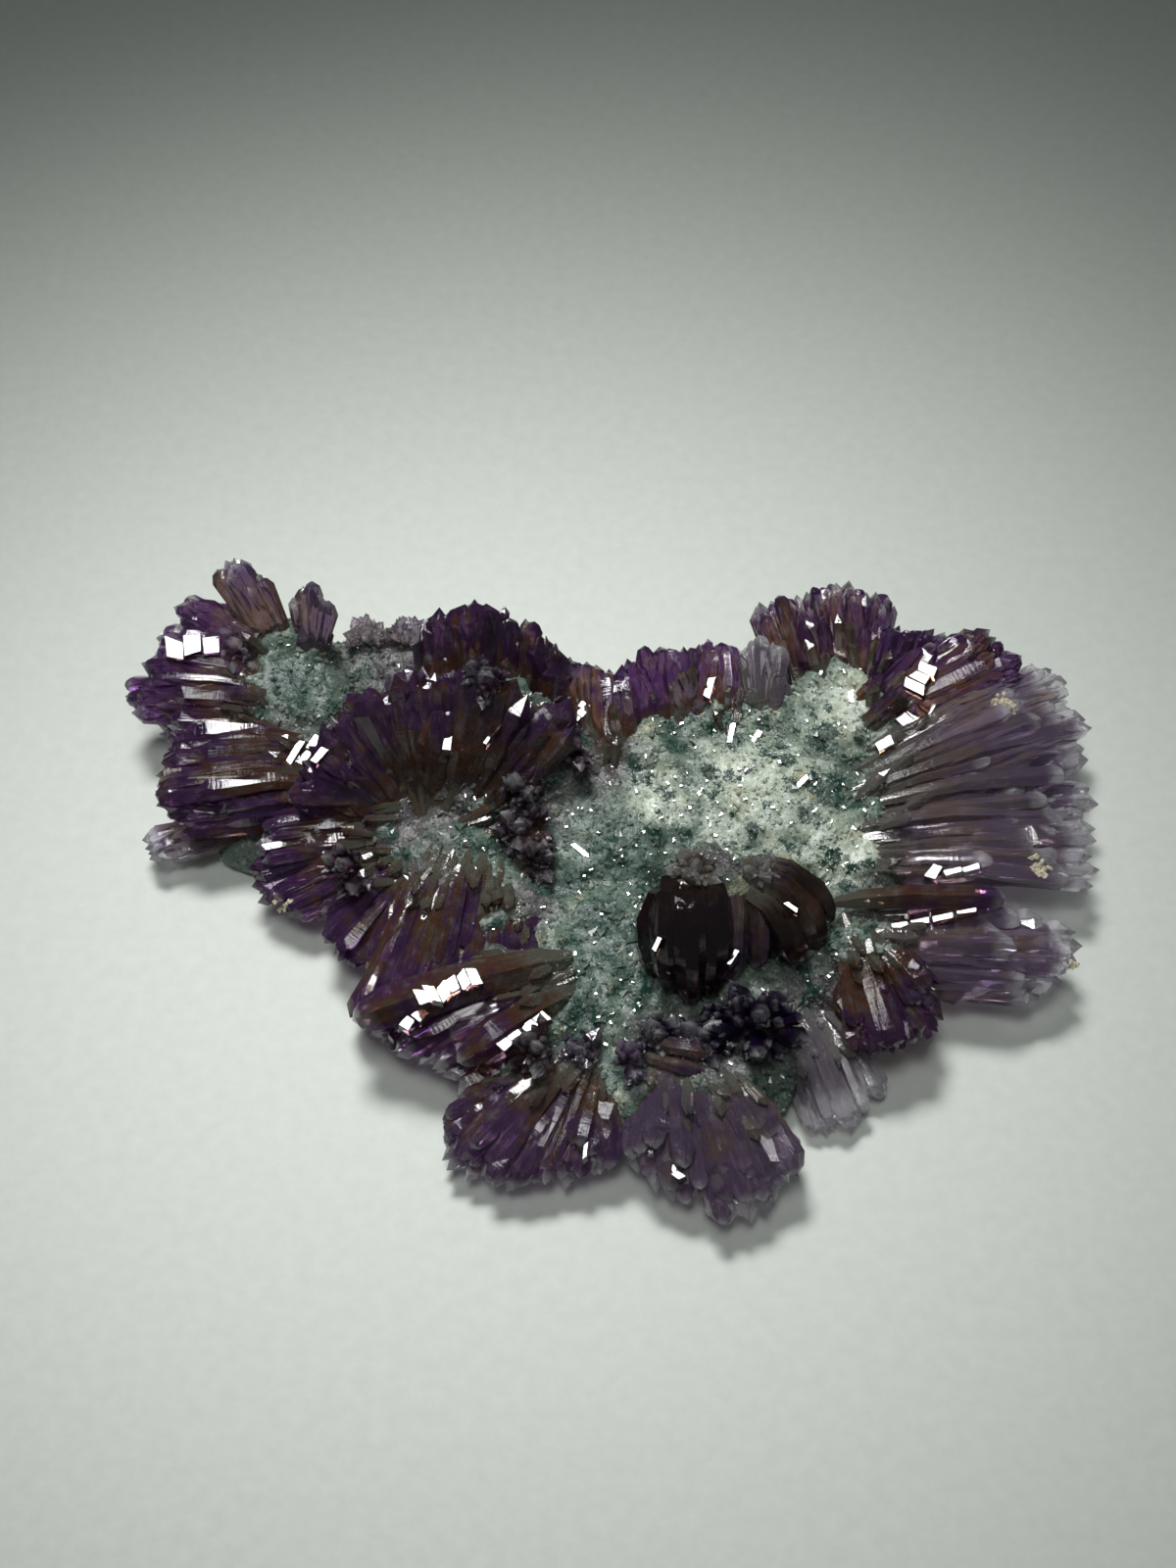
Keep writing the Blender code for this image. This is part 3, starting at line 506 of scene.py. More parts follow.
def bundle(petal, home, style, rng):
    """The crystals of one petal: a broad body, fine points round its rim and streaks on its back."""
    start, tip, width, depth, root_share, tier = petal
    arch = style.arch * rng.uniform(*PETAL_ARCH_VARIES)
    width *= rng.uniform(*WIDTH_VARIES)
    start = start - Vector((0, 0, ROOT_SINK * depth))
    axis, side, top = frame_of(start, tip)
    length = (tip - start).length
    tip = tip + side * rng.uniform(-PETAL_SWAY, PETAL_SWAY)
    if tier > 0:
        tip = tip - top * (TIER_DIP * depth) - Vector((0, 0, style.dive))
    axis, side, top = frame_of(start, tip)
    fade = 1.0 if tier == 0 else UPPER_TIER_SLOPE

    def stem(u, v, pulled, wide, deep, slope, end, left_extra):
        out = side * (u * width) + top * (v * depth)
        path = arched(start + out * root_share, tip + out - axis * pulled, arch)
        extra = left_extra + CLEAR_REACH * (1 - style.clear)
        return Stem(path, wide, deep, root_share, slope, end, extra, home, style)

    proud = 1 + BODY_PROUD * style.smooth
    wide, deep = BODY_GIRTH[0] * width * proud, BODY_GIRTH[1] * depth * proud
    pulled = BODY_PULLED * (1 - 0.75 * style.smooth) * length
    is_round = style.smooth > ROUND_FROM
    body_end, body_slope = (ROUNDED, ROUND_SLOPE) if is_round else (POINTED, BODY_SLOPE * fade)
    yield stem(0, BODY_LIFT, pulled, wide, deep, body_slope, body_end, BODY_CLOUDED * (1 - style.smooth))
    count = max(3, round(width / style.fine))
    for number in range(count):
        u = ((number + 0.5) / count - 0.5) * FINE_SPAN + rng.uniform(-FINE_SHIFT, FINE_SHIFT)
        pulled = u * u * width * FINE_CURVE + rng.uniform(0, style.stagger) * length
        wide = width / count * rng.uniform(*FINE_WIDTH)
        deep = max(wide, depth * rng.uniform(*FINE_DEPTH))
        yield stem(u, rng.uniform(*FINE_LIFT), pulled, wide, deep, FINE_SLOPE * fade, POINTED, 0)
    backs = max(1, count - 2)
    for number in range(backs):
        u = ((number + 0.5) / backs - 0.5) * BACK_SPAN + rng.uniform(-BACK_SHIFT, BACK_SHIFT)
        v = rng.uniform(*BACK_LIFT) * (1 - 0.5 * style.smooth)
        pulled = u * u * width * BACK_CURVE + rng.uniform(*BACK_PULLED) * length
        wide = width / count * rng.uniform(*BACK_WIDTH)
        yield stem(u, v, pulled, wide, depth * rng.uniform(*BACK_DEPTH), BACK_SLOPE, POINTED, BACK_CLOUDED)
    for number in range(2):
        u = (number - 0.5) * LOW_SPAN + rng.uniform(-LOW_SHIFT, LOW_SHIFT)
        pulled = rng.uniform(*LOW_PULLED) * length
        wide, deep = width * LOW_GIRTH, depth * LOW_GIRTH
        yield stem(u, LOW_LIFT, pulled, wide, deep, BODY_SLOPE, POINTED, LOW_CLOUDED)


def fringe(spray, home):
    """Tiny points between the petals' tips, low down, all along the rim of a spray."""
    rng = random.Random("fringe " + spray.name)
    count = round(line_length(spray.tips) / FRINGE_PITCH)
    for number in range(count):
        share = (number + rng.uniform(0.1, 0.9)) / count
        root = along(spray.roots, share)
        tip = root.lerp(along(spray.tips, share), rng.uniform(*FRINGE_REACH))
        tip.z += rng.uniform(*FRINGE_LIFT)
        start = root.lerp(tip, rng.uniform(*FRINGE_START))
        start.z -= FRINGE_SINK
        wide = rng.uniform(*FRINGE_WIDTH)
        extra = FRINGE_CLEAR_REACH * (1 - spray.style.clear)
        path = arched(start, tip, FRINGE_ARCH)
        yield Stem(path, wide, wide, SHORT_ROOT, FINE_SLOPE, POINTED, extra, home, spray.style)


def filling(spray, home, ripe=1):
    """Flat crystals between the petals from roots to tips, which make the spray one continuous fan."""
    rng = random.Random("filling " + spray.name)
    style = spray.style
    for tier in range(spray.tiers):
        pulled = 1 - TIER_SETBACK * tier
        count = round(line_length(spray.tips) * pulled / FILL_PITCH)
        for number in range(count):
            share = (number + rng.uniform(0.1, 0.9)) / count
            root = along(spray.roots, share)
            tip = root.lerp(along(spray.tips, share), pulled * rng.uniform(*FILL_PULLED[tier]))
            drop = rng.uniform(*FILL_DROP)
            tip.z += (TIER_RISE - FILL_DIVE - style.dive) * tier - drop
            start = root - (tip - root).normalized() * rng.uniform(*FILL_ROOT)
            start.z -= drop + FILL_SINK
            wide = rng.uniform(*FILL_WIDTH) * style.fine / USUAL_FINE
            extra = FILL_CLOUDED + CLEAR_REACH * (1 - style.clear)
            path = arched(start, tip, style.arch * rng.uniform(*FILL_ARCH_VARIES))
            deep = wide * rng.uniform(*FILL_DEPTH_SHARE)
            yield Stem(path, wide, deep, FILL_ROOT_SHARE, FINE_SLOPE, BLUNT, extra, home, style, SIDES, ripe)


def collar(spray, home):
    """Small pale crystals along the roots of a spray, where it grows out of the matrix."""
    rng = random.Random("collar " + spray.name)
    count = round(line_length(spray.roots) / COLLAR_PITCH)
    for number in range(count):
        share = (number + rng.uniform(0, 1)) / count
        root = along(spray.roots, share)
        ahead = (along(spray.tips, share) - root).normalized()
        spot = root + ahead * rng.uniform(-COLLAR_SHIFT, COLLAR_SHIFT) - Vector((0, 0, COLLAR_SINK))
        way = (ahead + Vector((0, 0, rng.uniform(*COLLAR_RISE)))).normalized()
        way = (way + scattered(rng, COLLAR_LEAN)).normalized()
        wide = rng.uniform(*COLLAR_WIDTH)
        path = arched(spot, spot + way * rng.uniform(*COLLAR_LENGTH), 0)
        girth = wide, wide, SHORT_ROOT
        yield Stem(path, *girth, FINE_SLOPE, POINTED, COLLAR_CLOUDED, home, spray.style, SIDES, COLLAR_RIPE)


def bunch_stems(bunch, home):
    """The stubby crystals of a bunch, each with finer ones round it."""
    rng = random.Random("fine " + bunch.name)
    style = Style(USUAL_FINE, 0, *bunch.tint)
    looks = home, style, SIDES, bunch.ripe
    for start, tip, width in bunch_points(bunch):
        wide = width * BUNCH_GIRTH
        path = arched(start, tip, 0)
        yield Stem(path, wide, wide, SHORT_ROOT, FINE_SLOPE, POINTED, BUNCH_CLOUDED[0], *looks)
        length = (tip - start).length
        for _ in range(BUNCH_FINE):
            way = ((tip - start).normalized() + scattered(rng, BUNCH_LEAN)).normalized()
            wide = width * rng.uniform(*BUNCH_FINE_WIDTH)
            path = arched(start, start + way * length * rng.uniform(*BUNCH_FINE_REACH), 0)
            yield Stem(path, wide, wide, BUNCH_FINE_ROOT, FINE_SLOPE, POINTED, BUNCH_CLOUDED[1], *looks)


def all_stems():
    """Every crystal of the sprays and bunches."""
    home = 0
    for spray in SPRAYS:
        if spray.style is None:
            continue
        rng = random.Random("bundle " + spray.name)
        for petal in spray_petals(spray):
            yield from bundle(petal, home, spray.style, rng)
            home += 1
        yield from fringe(spray, home)
        yield from filling(spray, home)
        yield from collar(spray, home + 1)
        home += 2
    yield from filling(FLOOR_SPRAY, home, FLOOR_RIPE)
    home += 1
    for bunch in BUNCHES:
        yield from bunch_stems(bunch, home)
        home += 1
    for start, middle, tip, width, depth, sides, style in FINGERS:
        path = Vector(start), Vector(middle), Vector(tip)
        extra = CLEAR_REACH * (1 - style.clear)
        girth = width, depth, FINGER_ROOT_SHARE
        ripe = RIPENESS.get(style, 1)
        yield Stem(path, *girth, FINE_SLOPE, ROUNDED, extra, home, style, sides, ripe)
        home += 1


def mesh_object(name, corners, faces, collection=None):
    """A closed mesh with its faces pointing out, from corners in the tables' millimetres."""
    mesh = bpy.data.meshes.new(name)
    mesh.from_pydata([place(corner) for corner in corners], [], faces)
    made = bmesh.new()
    made.from_mesh(mesh)
    bmesh.ops.recalc_face_normals(made, faces=made.faces)
    made.to_mesh(mesh)
    made.free()
    item = bpy.data.objects.new(name, mesh)
    (collection or bpy.context.scene.collection).objects.link(item)
    return item


def describe(item, places, length, stem):
    """Gives each face corner its place in its own crystal, for the materials to read.

    grain is sideways, upwards and lengthways in the crystal, in millimetres. growth is the share of the way
    to the tip, the millimetres left to it, and the smoothness. tone is the warmth, smokiness and paleness.
    """
    mesh = item.data
    loops = np.empty(len(mesh.loops), np.int32)
    mesh.loops.foreach_get("vertex_index", loops)
    local = np.array(places)[loops]
    grain = local + np.array((stem.home * HOME_STEP, 0, 0))
    left = length - local[:, 2] + stem.left_extra
    smooth = np.full(len(loops), stem.style.smooth)
    growth = np.stack([local[:, 2] / length * stem.ripe, left, smooth], axis=1)
    tone = np.tile((stem.style.warmth, stem.style.smoke, stem.style.pale), (len(loops), 1))
    for name, values in (("grain", grain), ("growth", growth), ("tone", tone)):
        made = mesh.attributes.new(name, "FLOAT_VECTOR", "CORNER")
        made.data.foreach_set("vector", values.astype(np.float32).ravel())


def applied(item):
    """Puts the item's evaluated mesh in place of its modifiers."""
    depsgraph = bpy.context.evaluated_depsgraph_get()
    mesh = bpy.data.meshes.new_from_object(item.evaluated_get(depsgraph))
    mesh.validate()
    item.modifiers.clear()
    item.data = mesh


def grown_together(name, items):
    """One closed object of many overlapping closed ones."""
    growth = bpy.data.collections.new("growth")
    bpy.context.scene.collection.children.link(growth)
    whole = items[0]
    whole.name = name
    for item in items[1:]:
        bpy.context.scene.collection.objects.unlink(item)
        growth.objects.link(item)
    union = whole.modifiers.new("union", "BOOLEAN")
    union.operation = "UNION"
    union.operand_type = "COLLECTION"
    union.collection = growth
    union.solver = "MANIFOLD"
    applied(whole)
    for item in items[1:]:
        shape = item.data
        bpy.data.objects.remove(item)
        bpy.data.meshes.remove(shape)
    bpy.data.collections.remove(growth)
    return whole


def without_crumbs(item):
    """Takes away the closed bubbles and specks of a few faces that a union leaves behind."""
    made = bmesh.new()
    made.from_mesh(item.data)
    bmesh.ops.dissolve_degenerate(made, dist=CRUMB_EDGE * MM, edges=made.edges)
    crumbs = []
    seen = set()
    for face in made.faces:
        if face in seen:
            continue
        seen.add(face)
        island = [face]
        for member in island:
            for edge in member.edges:
                for beside in edge.link_faces:
                    if beside not in seen:
                        seen.add(beside)
                        island.append(beside)
        if len(island) < CRUMB_FACES:
            crumbs += island
    bmesh.ops.delete(made, geom=crumbs, context="FACES")
    made.to_mesh(item.data)
    made.free()
    return item


def sprays():
    """All the crystals, grown together into one closed mesh."""
    rng = random.Random("corners")
    items = []
    for stem in all_stems():
        corners, faces, places, length = crystal(stem, rng)
        item = mesh_object("crystal", corners, faces)
        describe(item, places, length, stem)
        items.append(item)
    print("crystals", len(items))
    growth = without_crumbs(with_facets(grown_together("amethyst_sprays", items)))
    growth.data.shade_smooth()
    growth.data.set_sharp_from_angle(angle=EDGE_ANGLE)
    return growth


# Materials

QUARTZ_IOR = 1.544
SMOOTHING = 0.8
ABSORPTION_PER_METRE = 70.0


def node(nodes, kind, **settings):
    """A new node with the given properties."""
    made = nodes.new(kind)
    for name, value in settings.items():
        setattr(made, name, value)
    return made


def colour(red, green, blue):
    return (red, green, blue, 1.0)


class Wires:
    """Short ways to add the nodes that the materials below are made of."""

    def __init__(self, name):
        self.material = bpy.data.materials.new(name)
        self.material.use_nodes = True
        self.nodes = self.material.node_tree.nodes
        self.links = self.material.node_tree.links
        self.shader = self.nodes["Principled BSDF"]

    def put(self, value, socket):
        """Links a socket's output, or sets a plain value."""
        if isinstance(value, bpy.types.NodeSocket):
            self.links.new(value, socket)
        else:
            socket.default_value = value

    def math(self, operation, first, second=0.0, third=0.0, clamped=False):
        made = node(self.nodes, "ShaderNodeMath", operation=operation, use_clamp=clamped)
        for value, socket in zip((first, second, third), made.inputs):
            self.put(value, socket)
        return made.outputs[0]

    def lean(self, value, gain, onto, middle=0.5):
        """onto, plus value's distance from middle times gain."""
        return self.math("MULTIPLY_ADD", self.math("SUBTRACT", value, middle), gain, onto)

    def ramp(self, value, low, high, start=0.0, end=1.0):
        """A smooth step from start, where value is low, to end, where it is high."""
        made = node(self.nodes, "ShaderNodeMapRange", interpolation_type="SMOOTHSTEP")
        for entry, socket in zip((value, low, high, start, end), made.inputs):
            self.put(entry, socket)
        return made.outputs[0]

    def mix(self, share, first, second, blend="MIX"):
        made = node(self.nodes, "ShaderNodeMix", data_type="RGBA", blend_type=blend)
        self.put(share, made.inputs["Factor"])
        for value, socket in zip((first, second), made.inputs[6:8]):
            self.put(value, socket)
        return made.outputs[2]

    def scaled(self, vector, scale):
        made = node(self.nodes, "ShaderNodeVectorMath", operation="MULTIPLY")
        self.put(vector, made.inputs[0])
        made.inputs[1].default_value = scale
        return made.outputs[0]

    def noise(self, vector, scale=1.0, detail=3.0, roughness=0.55, distortion=0.0):
        made = node(self.nodes, "ShaderNodeTexNoise")
        self.put(vector, made.inputs["Vector"])
        made.inputs["Scale"].default_value = scale
        made.inputs["Detail"].default_value = detail
        made.inputs["Roughness"].default_value = roughness
        made.inputs["Distortion"].default_value = distortion
        return made.outputs["Fac"]

    def attribute(self, name):
        return node(self.nodes, "ShaderNodeAttribute", attribute_name=name).outputs["Vector"]

    def split(self, vector):
        made = node(self.nodes, "ShaderNodeSeparateXYZ")
        self.put(vector, made.inputs[0])
        return made.outputs

    def millimetres(self):
        where = node(self.nodes, "ShaderNodeTexCoord").outputs["Object"]
        return self.scaled(where, (1 / MM,) * 3)

    def bump(self, height, strength, distance, under=None):
        made = node(self.nodes, "ShaderNodeBump")
        made.inputs["Strength"].default_value = strength
        made.inputs["Distance"].default_value = distance * MM
        self.put(height, made.inputs["Height"])
        if under is not None:
            self.put(under, made.inputs["Normal"])
        return made.outputs[0]

    def set(self, **values):
        for name, value in values.items():
            self.put(value, self.shader.inputs[name.replace("_", " ")])


ROOT_GREY = colour(0.27, 0.28, 0.22)
OLIVE = colour(0.19, 0.128, 0.062)
BROWN = colour(0.2, 0.08, 0.042)
VIOLET = colour(0.12, 0.041, 0.168)
LILAC = colour(0.39, 0.285, 0.375)
SMOKE = colour(0.02, 0.009, 0.006)
INDIGO = colour(0.008, 0.004, 0.03)
CLEAR = colour(0.88, 0.87, 0.9)
PALE = colour(0.62, 0.6, 0.62)
ABSORBED_LILAC = colour(0.62, 0.52, 0.68)


def amethyst_material():
    """See-through violet and brown quartz, pale at its roots, clear at its tips and smoky in places."""
    wires = Wires("amethyst")
    where = wires.millimetres()
    grain = wires.attribute("grain")
    share, left, smooth = wires.split(wires.attribute("growth"))
    warmth, smoke, pale = wires.split(wires.attribute("tone"))
    streak = wires.noise(wires.scaled(grain, (0.5, 0.5, 0.045)), detail=4.0)
    hair = wires.noise(wires.scaled(grain, (2.6, 2.6, 0.1)))
    patch = wires.noise(where, scale=0.12)
    cloud = wires.noise(where, scale=0.4, detail=4.0)
    drift = wires.lean(patch, 2.6, share)
    drift = wires.lean(streak, 1.8, drift)
    drift = wires.lean(warmth, -0.35, drift, 0.0)
    violet = wires.ramp(drift, 0.2, 0.75)
    warm = wires.mix(wires.ramp(cloud, 0.4, 0.65), BROWN, OLIVE)
    body = wires.mix(violet, warm, VIOLET)
    haze = wires.lean(hair, 1.0, cloud)
    body = wires.mix(wires.ramp(haze, 0.48, 0.82, 0.0, 0.65), body, LILAC)
    root = wires.lean(streak, 0.6, wires.lean(cloud, 0.4, share))
    body = wires.mix(wires.ramp(root, 0.34, 0.08, 0.0, 0.85), body, ROOT_GREY)
    body = wires.mix(pale, body, PALE)
    dark = wires.math("MULTIPLY", smoke, wires.ramp(share, 0.08, 0.4))
    dark = wires.lean(patch, 1.6, wires.lean(streak, 0.8, dark))
    smoky = wires.mix(wires.ramp(warmth, -0.5, 0.3), INDIGO, SMOKE)
    body = wires.mix(wires.ramp(dark, 0.25, 1.0, 0.0, 0.92), body, smoky)
    edge = wires.lean(cloud, 5.0, left)
    body = wires.mix(wires.ramp(edge, 4.5, 1.2), body, CLEAR)
    steps = wires.noise(wires.scaled(grain, (0.2, 0.2, 2.2)), detail=4.0)
    flutes = wires.noise(wires.scaled(grain, (2.4, 2.4, 0.1)), detail=2.0)
    rough = wires.math("MULTIPLY_ADD", smooth, -SMOOTHING, 1.0)
    normal = wires.bump(wires.math("MULTIPLY", steps, rough), 0.35, 0.3)
    normal = wires.bump(wires.math("MULTIPLY", flutes, rough), 0.2, 0.2, normal)
    wires.set(
        Base_Color=body,
        Roughness=wires.ramp(cloud, 0.3, 0.8, 0.03, 0.16),
        IOR=QUARTZ_IOR,
        Transmission_Weight=0.8,
        Normal=normal,
    )
    absorb = node(wires.nodes, "ShaderNodeVolumeAbsorption")
    absorb.inputs["Color"].default_value = ABSORBED_LILAC
    absorb.inputs["Density"].default_value = ABSORPTION_PER_METRE
    wires.links.new(absorb.outputs[0], wires.nodes["Material Output"].inputs["Volume"])
    return wires.material


DEEP_GREEN = colour(0.013, 0.05, 0.036)
SEA_GREEN = colour(0.1, 0.15, 0.12)
MILKY = colour(0.46, 0.53, 0.43)
MILK_WHITE = colour(0.82, 0.88, 0.78)
SAND = colour(0.42, 0.4, 0.24)
DOT_SCALE = 0.14
SMOKY_GREY = colour(0.068, 0.06, 0.064)


def stone_colour(wires, where):
    """The mottled milky, green and yellowish colour that the matrix and its crust share, with painted white
    glints.
    """
    green, pale, smoky = wires.split(wires.attribute("tone"))
    broad = wires.noise(where, scale=0.09, detail=4.0)
    fine = wires.noise(where, scale=0.5, detail=5.0, roughness=0.65)
    grains = wires.noise(where, scale=2.2)
    light = wires.lean(fine, 1.2, wires.lean(broad, 1.5, pale))
    milky = wires.mix(wires.ramp(light, 0.1, 0.9), SEA_GREEN, MILKY)
    milky = wires.mix(wires.ramp(light, 0.75, 1.3), milky, MILK_WHITE)
    yellow = wires.lean(grains, 0.6, wires.noise(where, scale=0.14))
    milky = wires.mix(wires.ramp(yellow, 0.56, 0.78, 0.0, 0.8), milky, SAND)
    milky = wires.mix(wires.lean(fine, 0.8, smoky), milky, SMOKY_GREY)
    dots = node(wires.nodes, "ShaderNodeTexVoronoi")
    dots.inputs["Scale"].default_value = DOT_SCALE
    wires.put(where, dots.inputs["Vector"])
    near = wires.lean(grains, -0.5, wires.lean(fine, -1.2, dots.outputs["Distance"]))
    green = wires.math("ADD", green, wires.ramp(near, 0.34, 0.1, 0.0, 0.75))
    dark = wires.lean(fine, 2.2, wires.lean(grains, 0.8, green))
    milky = wires.mix(wires.ramp(dark, 0.4, 0.75), milky, DEEP_GREEN)
    # Painted glints: small white specks mixed into the colour, mostly where the stone is lighter, stand in
    # for sparkles of reflected light.
    specks = wires.noise(where, scale=1.6, detail=1.0)
    specks = wires.ramp(specks, 0.62, 0.7, 0.0, 0.8)
    painted_glints = wires.math("MULTIPLY", specks, wires.ramp(light, 0.0, 0.9, 0.2, 1.0))
    milky = wires.mix(painted_glints, milky, MILK_WHITE)
    return wires.mix(1.0, milky, wires.ramp(grains, 0.3, 0.7, 0.85, 1.15), "MULTIPLY")


def matrix_material():
    """The quartz under the fine points, cloudy and a little see-through at its surface."""
    wires = Wires("matrix")
    where = wires.millimetres()
    fine = wires.noise(where, scale=1.3, detail=5.0)
    wires.set(
        Base_Color=stone_colour(wires, where),
        Roughness=wires.ramp(fine, 0.3, 0.7, 0.2, 0.45),
        Subsurface_Weight=0.5,
        Subsurface_Radius=(1.0, 1.2, 1.0),
        Subsurface_Scale=0.002,
        Normal=wires.bump(fine, 0.5, 0.5),
    )
    return wires.material


def druse_material():
    """The glassy fine points, in the colours of the quartz under them."""
    wires = Wires("druse")
    where = wires.millimetres()
    sheen = wires.noise(where, scale=0.8, detail=2.0)
    wires.set(
        Base_Color=wires.mix(0.1, stone_colour(wires, where), MILK_WHITE),
        Roughness=wires.ramp(sheen, 0.4, 0.6, 0.02, 0.12),
        IOR=QUARTZ_IOR,
        Transmission_Weight=0.15,
    )
    return wires.material


# Matrix

SWELLING_SIDES = 48
SWELLING_LEVELS = 14
MATRIX_VOXEL = 0.8
MOUND_PITCH = 5.0
MOUND_RADIUS = (5.0, 7.5)
MOUND_BACK = (0.0, 3.0)
MOUND_HEIGHT = (-1.0, 1.0)
DOME_CURVE = 3.2
FOOT_SHARE, FOOT_HEIGHT = 0.84, 0.3
# Sizes and heights of the lumps, how far the stone is drawn in under them, and the height that they start at.
MATRIX_LUMPS = ((11.0, 1.6), (4.5, 1.2), (1.9, 0.5), (0.9, 0.2))
LUMPS_DRAWN_IN = 0.4
LUMPS_FROM = 1.0

# Dark green spots on the matrix, as middle and radius, then brighter milky places, places where the milkiness
# is taken away, and grey smoky ones, in the same way.
GREEN_SPOTS = (
    ((1, -10), 4.8),
    ((7, -14), 3.2),
    ((37, 23), 1.8),
    ((45, 17), 4.0),
    ((2, 5), 4.2),
    ((-1, -29), 4.0),
    ((44, 28), 3.0),
    ((-33, 55), 2.6),
    ((-60, 42), 4.5),
    ((-24, 9), 2.6),
    ((8, -24), 4.0),
    ((16, 27), 2.2),
    ((27, 29), 2.0),
    ((33, 33), 1.6),
    ((-4, -2), 3.0),
    ((3, -19), 3.0),
    ((-3, -22), 3.2),
    ((10, -3), 2.8),
    ((12, 8), 1.8),
    ((22, 22), 1.6),
    ((40, 12), 1.8),
    ((30, 8), 1.4),
)
MILKY_SPOTS = (
    ((30, 17), 24.0),
    ((12, 17), 12.0),
    ((-5, -10), 6.0),
    ((5, -27), 6.0),
    ((50, 34), 13.0),
    ((48, 5), 12.0),
)
DIM_SPOTS = (
    ((3, -18), 24.0),
    ((-2, 6), 16.0),
    ((-38, 53), 30.0),
    ((-61, 42), 18.0),
)
SMOKY_SPOTS = (
    ((-38, 11), 12.0),
    ((-27, 15), 10.0),
    ((-12, 16), 12.0),
    ((0, 24), 12.0),
    ((-30, 0), 9.0),
    ((-12, -6), 7.0),
    ((-38, 53), 20.0),
    ((22, -34), 14.0),
    ((40, -28), 14.0),
    ((52, -6), 9.0),
    ((-62, 25), 16.0),
    ((24, -4), 8.0),
    ((13, -33), 10.0),
    ((-16, -14), 8.0),
)
GREEN_PATCH = ((9.0, 0.5), (3.1, 0.55))
GREEN_BASE, SPOT_EDGE, SPOT_GAIN = 0.2, 0.55, 0.8
MILKY_GAIN, MILKY_LIMITS = 1.1, (-0.2, 0.9)
SMOKY_GAIN = 1.6


def smooth_dome(swelling):
    """Corners and faces of a round flat-bottomed dome."""
    turn = Matrix.Rotation(math.radians(swelling.turn), 3, "Z")
    middle = Vector((*swelling.middle, 0))
    corners = []
    for level in range(SWELLING_LEVELS):
        share = level / SWELLING_LEVELS
        out = (1 - share**DOME_CURVE) ** 0.5 * (FOOT_SHARE + (1 - FOOT_SHARE) * min(1.0, share / FOOT_HEIGHT))
        for number in range(SWELLING_SIDES):
            angle = 2 * math.pi * number / SWELLING_SIDES
            flat = Vector((swelling.radii[0] * math.cos(angle), swelling.radii[1] * math.sin(angle), 0)) * out
            corners.append(middle + turn @ flat + Vector((0, 0, swelling.height * share)))
    corners.append(middle + Vector((0, 0, swelling.height)))
    faces = [tuple(reversed(range(SWELLING_SIDES)))]
    for level in range(SWELLING_LEVELS - 1):
        faces += band(level * SWELLING_SIDES, (level + 1) * SWELLING_SIDES, SWELLING_SIDES)
    faces += fan((SWELLING_LEVELS - 1) * SWELLING_SIDES, len(corners) - 1, SWELLING_SIDES)
    return corners, faces


def spot_strength(spot, spots):
    """1 in the middle of the nearest spot, 0 at its edge, and below that outside."""
    return max(1 - math.hypot(spot.x - x, spot.y - y) / radius for (x, y), radius in spots)


def stone_tone(spot):
    """How green, how milky and how smoky the matrix is at a point of the tables."""
    patch = sum(noise.noise(spot / size) * gain for size, gain in GREEN_PATCH)
    green = max(GREEN_BASE + patch, SPOT_EDGE + SPOT_GAIN * spot_strength(spot, GREEN_SPOTS))
    milky = clamp(MILKY_GAIN * spot_strength(spot, MILKY_SPOTS), MILKY_LIMITS)
    milky -= max(0.0, spot_strength(spot, DIM_SPOTS))
    return green, milky, clamp(SMOKY_GAIN * spot_strength(spot, SMOKY_SPOTS), (0.0, 1.0))


def give_tones(mesh, tones):
    """Keeps the tone of each corner for the materials to read."""
    flat = np.array(tones, np.float32).ravel()
    mesh.attributes.new("tone", "FLOAT_VECTOR", "POINT").data.foreach_set("vector", flat)


def root_mounds():
    """Low mounds of the matrix along the roots of the sprays, so that the petals rise out of it."""
    rng = random.Random("mounds")
    for spray in SPRAYS:
        count = round(line_length(spray.roots) / MOUND_PITCH) + 1
        for number in range(count):
            share = (number + 0.5) / count
            spot = along(spray.roots, share)
            back = (spot - along(spray.tips, share)).normalized()
            middle = spot + back * rng.uniform(*MOUND_BACK)
            radius = rng.uniform(*MOUND_RADIUS)
            height = spot.z + rng.uniform(*MOUND_HEIGHT)
            yield Swelling("mound", (middle.x, middle.y), (radius, radius), 0, height)


def matrix_stone():
    """The lumpy matrix on its flat underside, as one closed mesh."""
    domes = [smooth_dome(swelling) for swelling in SWELLINGS]
    domes += [smooth_dome(mound) for mound in root_mounds()]
    stone = grown_together("matrix_stone", [mesh_object("dome", *dome) for dome in domes])
    shell = stone.modifiers.new("even faces", "REMESH")
    shell.mode = "VOXEL"
    shell.voxel_size = MATRIX_VOXEL * MM
    applied(stone)
    mesh = stone.data
    normals = [vertex.normal.copy() for vertex in mesh.vertices]
    tones = []
    for vertex, normal in zip(mesh.vertices, normals):
        spot = vertex.co / MM + OUTLINE_MIDDLE
        rise = sum(noise.noise(spot / size) * height for size, height in MATRIX_LUMPS)
        if spot.z > LUMPS_FROM:
            vertex.co += normal * (rise - LUMPS_DRAWN_IN) * MM
        vertex.co.z = max(vertex.co.z, 0.0)
        tones.append(stone_tone(spot))
    give_tones(mesh, tones)
    mesh.shade_smooth()
    return stone


# Druse

DRUSE_COUNT = 11000
DRUSE_WIDTH = (0.6, 2.0)
DRUSE_HEIGHT = (0.8, 1.4)
DRUSE_CORNERS = (0.85, 1.1)
DRUSE_LEAN = 0.8
DRUSE_SUNK = 0.35
DRUSE_SIDES = 6
# No point grows where the stone faces further down, or lies lower in metres, than this.
DRUSE_FACING = -0.1
DRUSE_FROM = 0.002
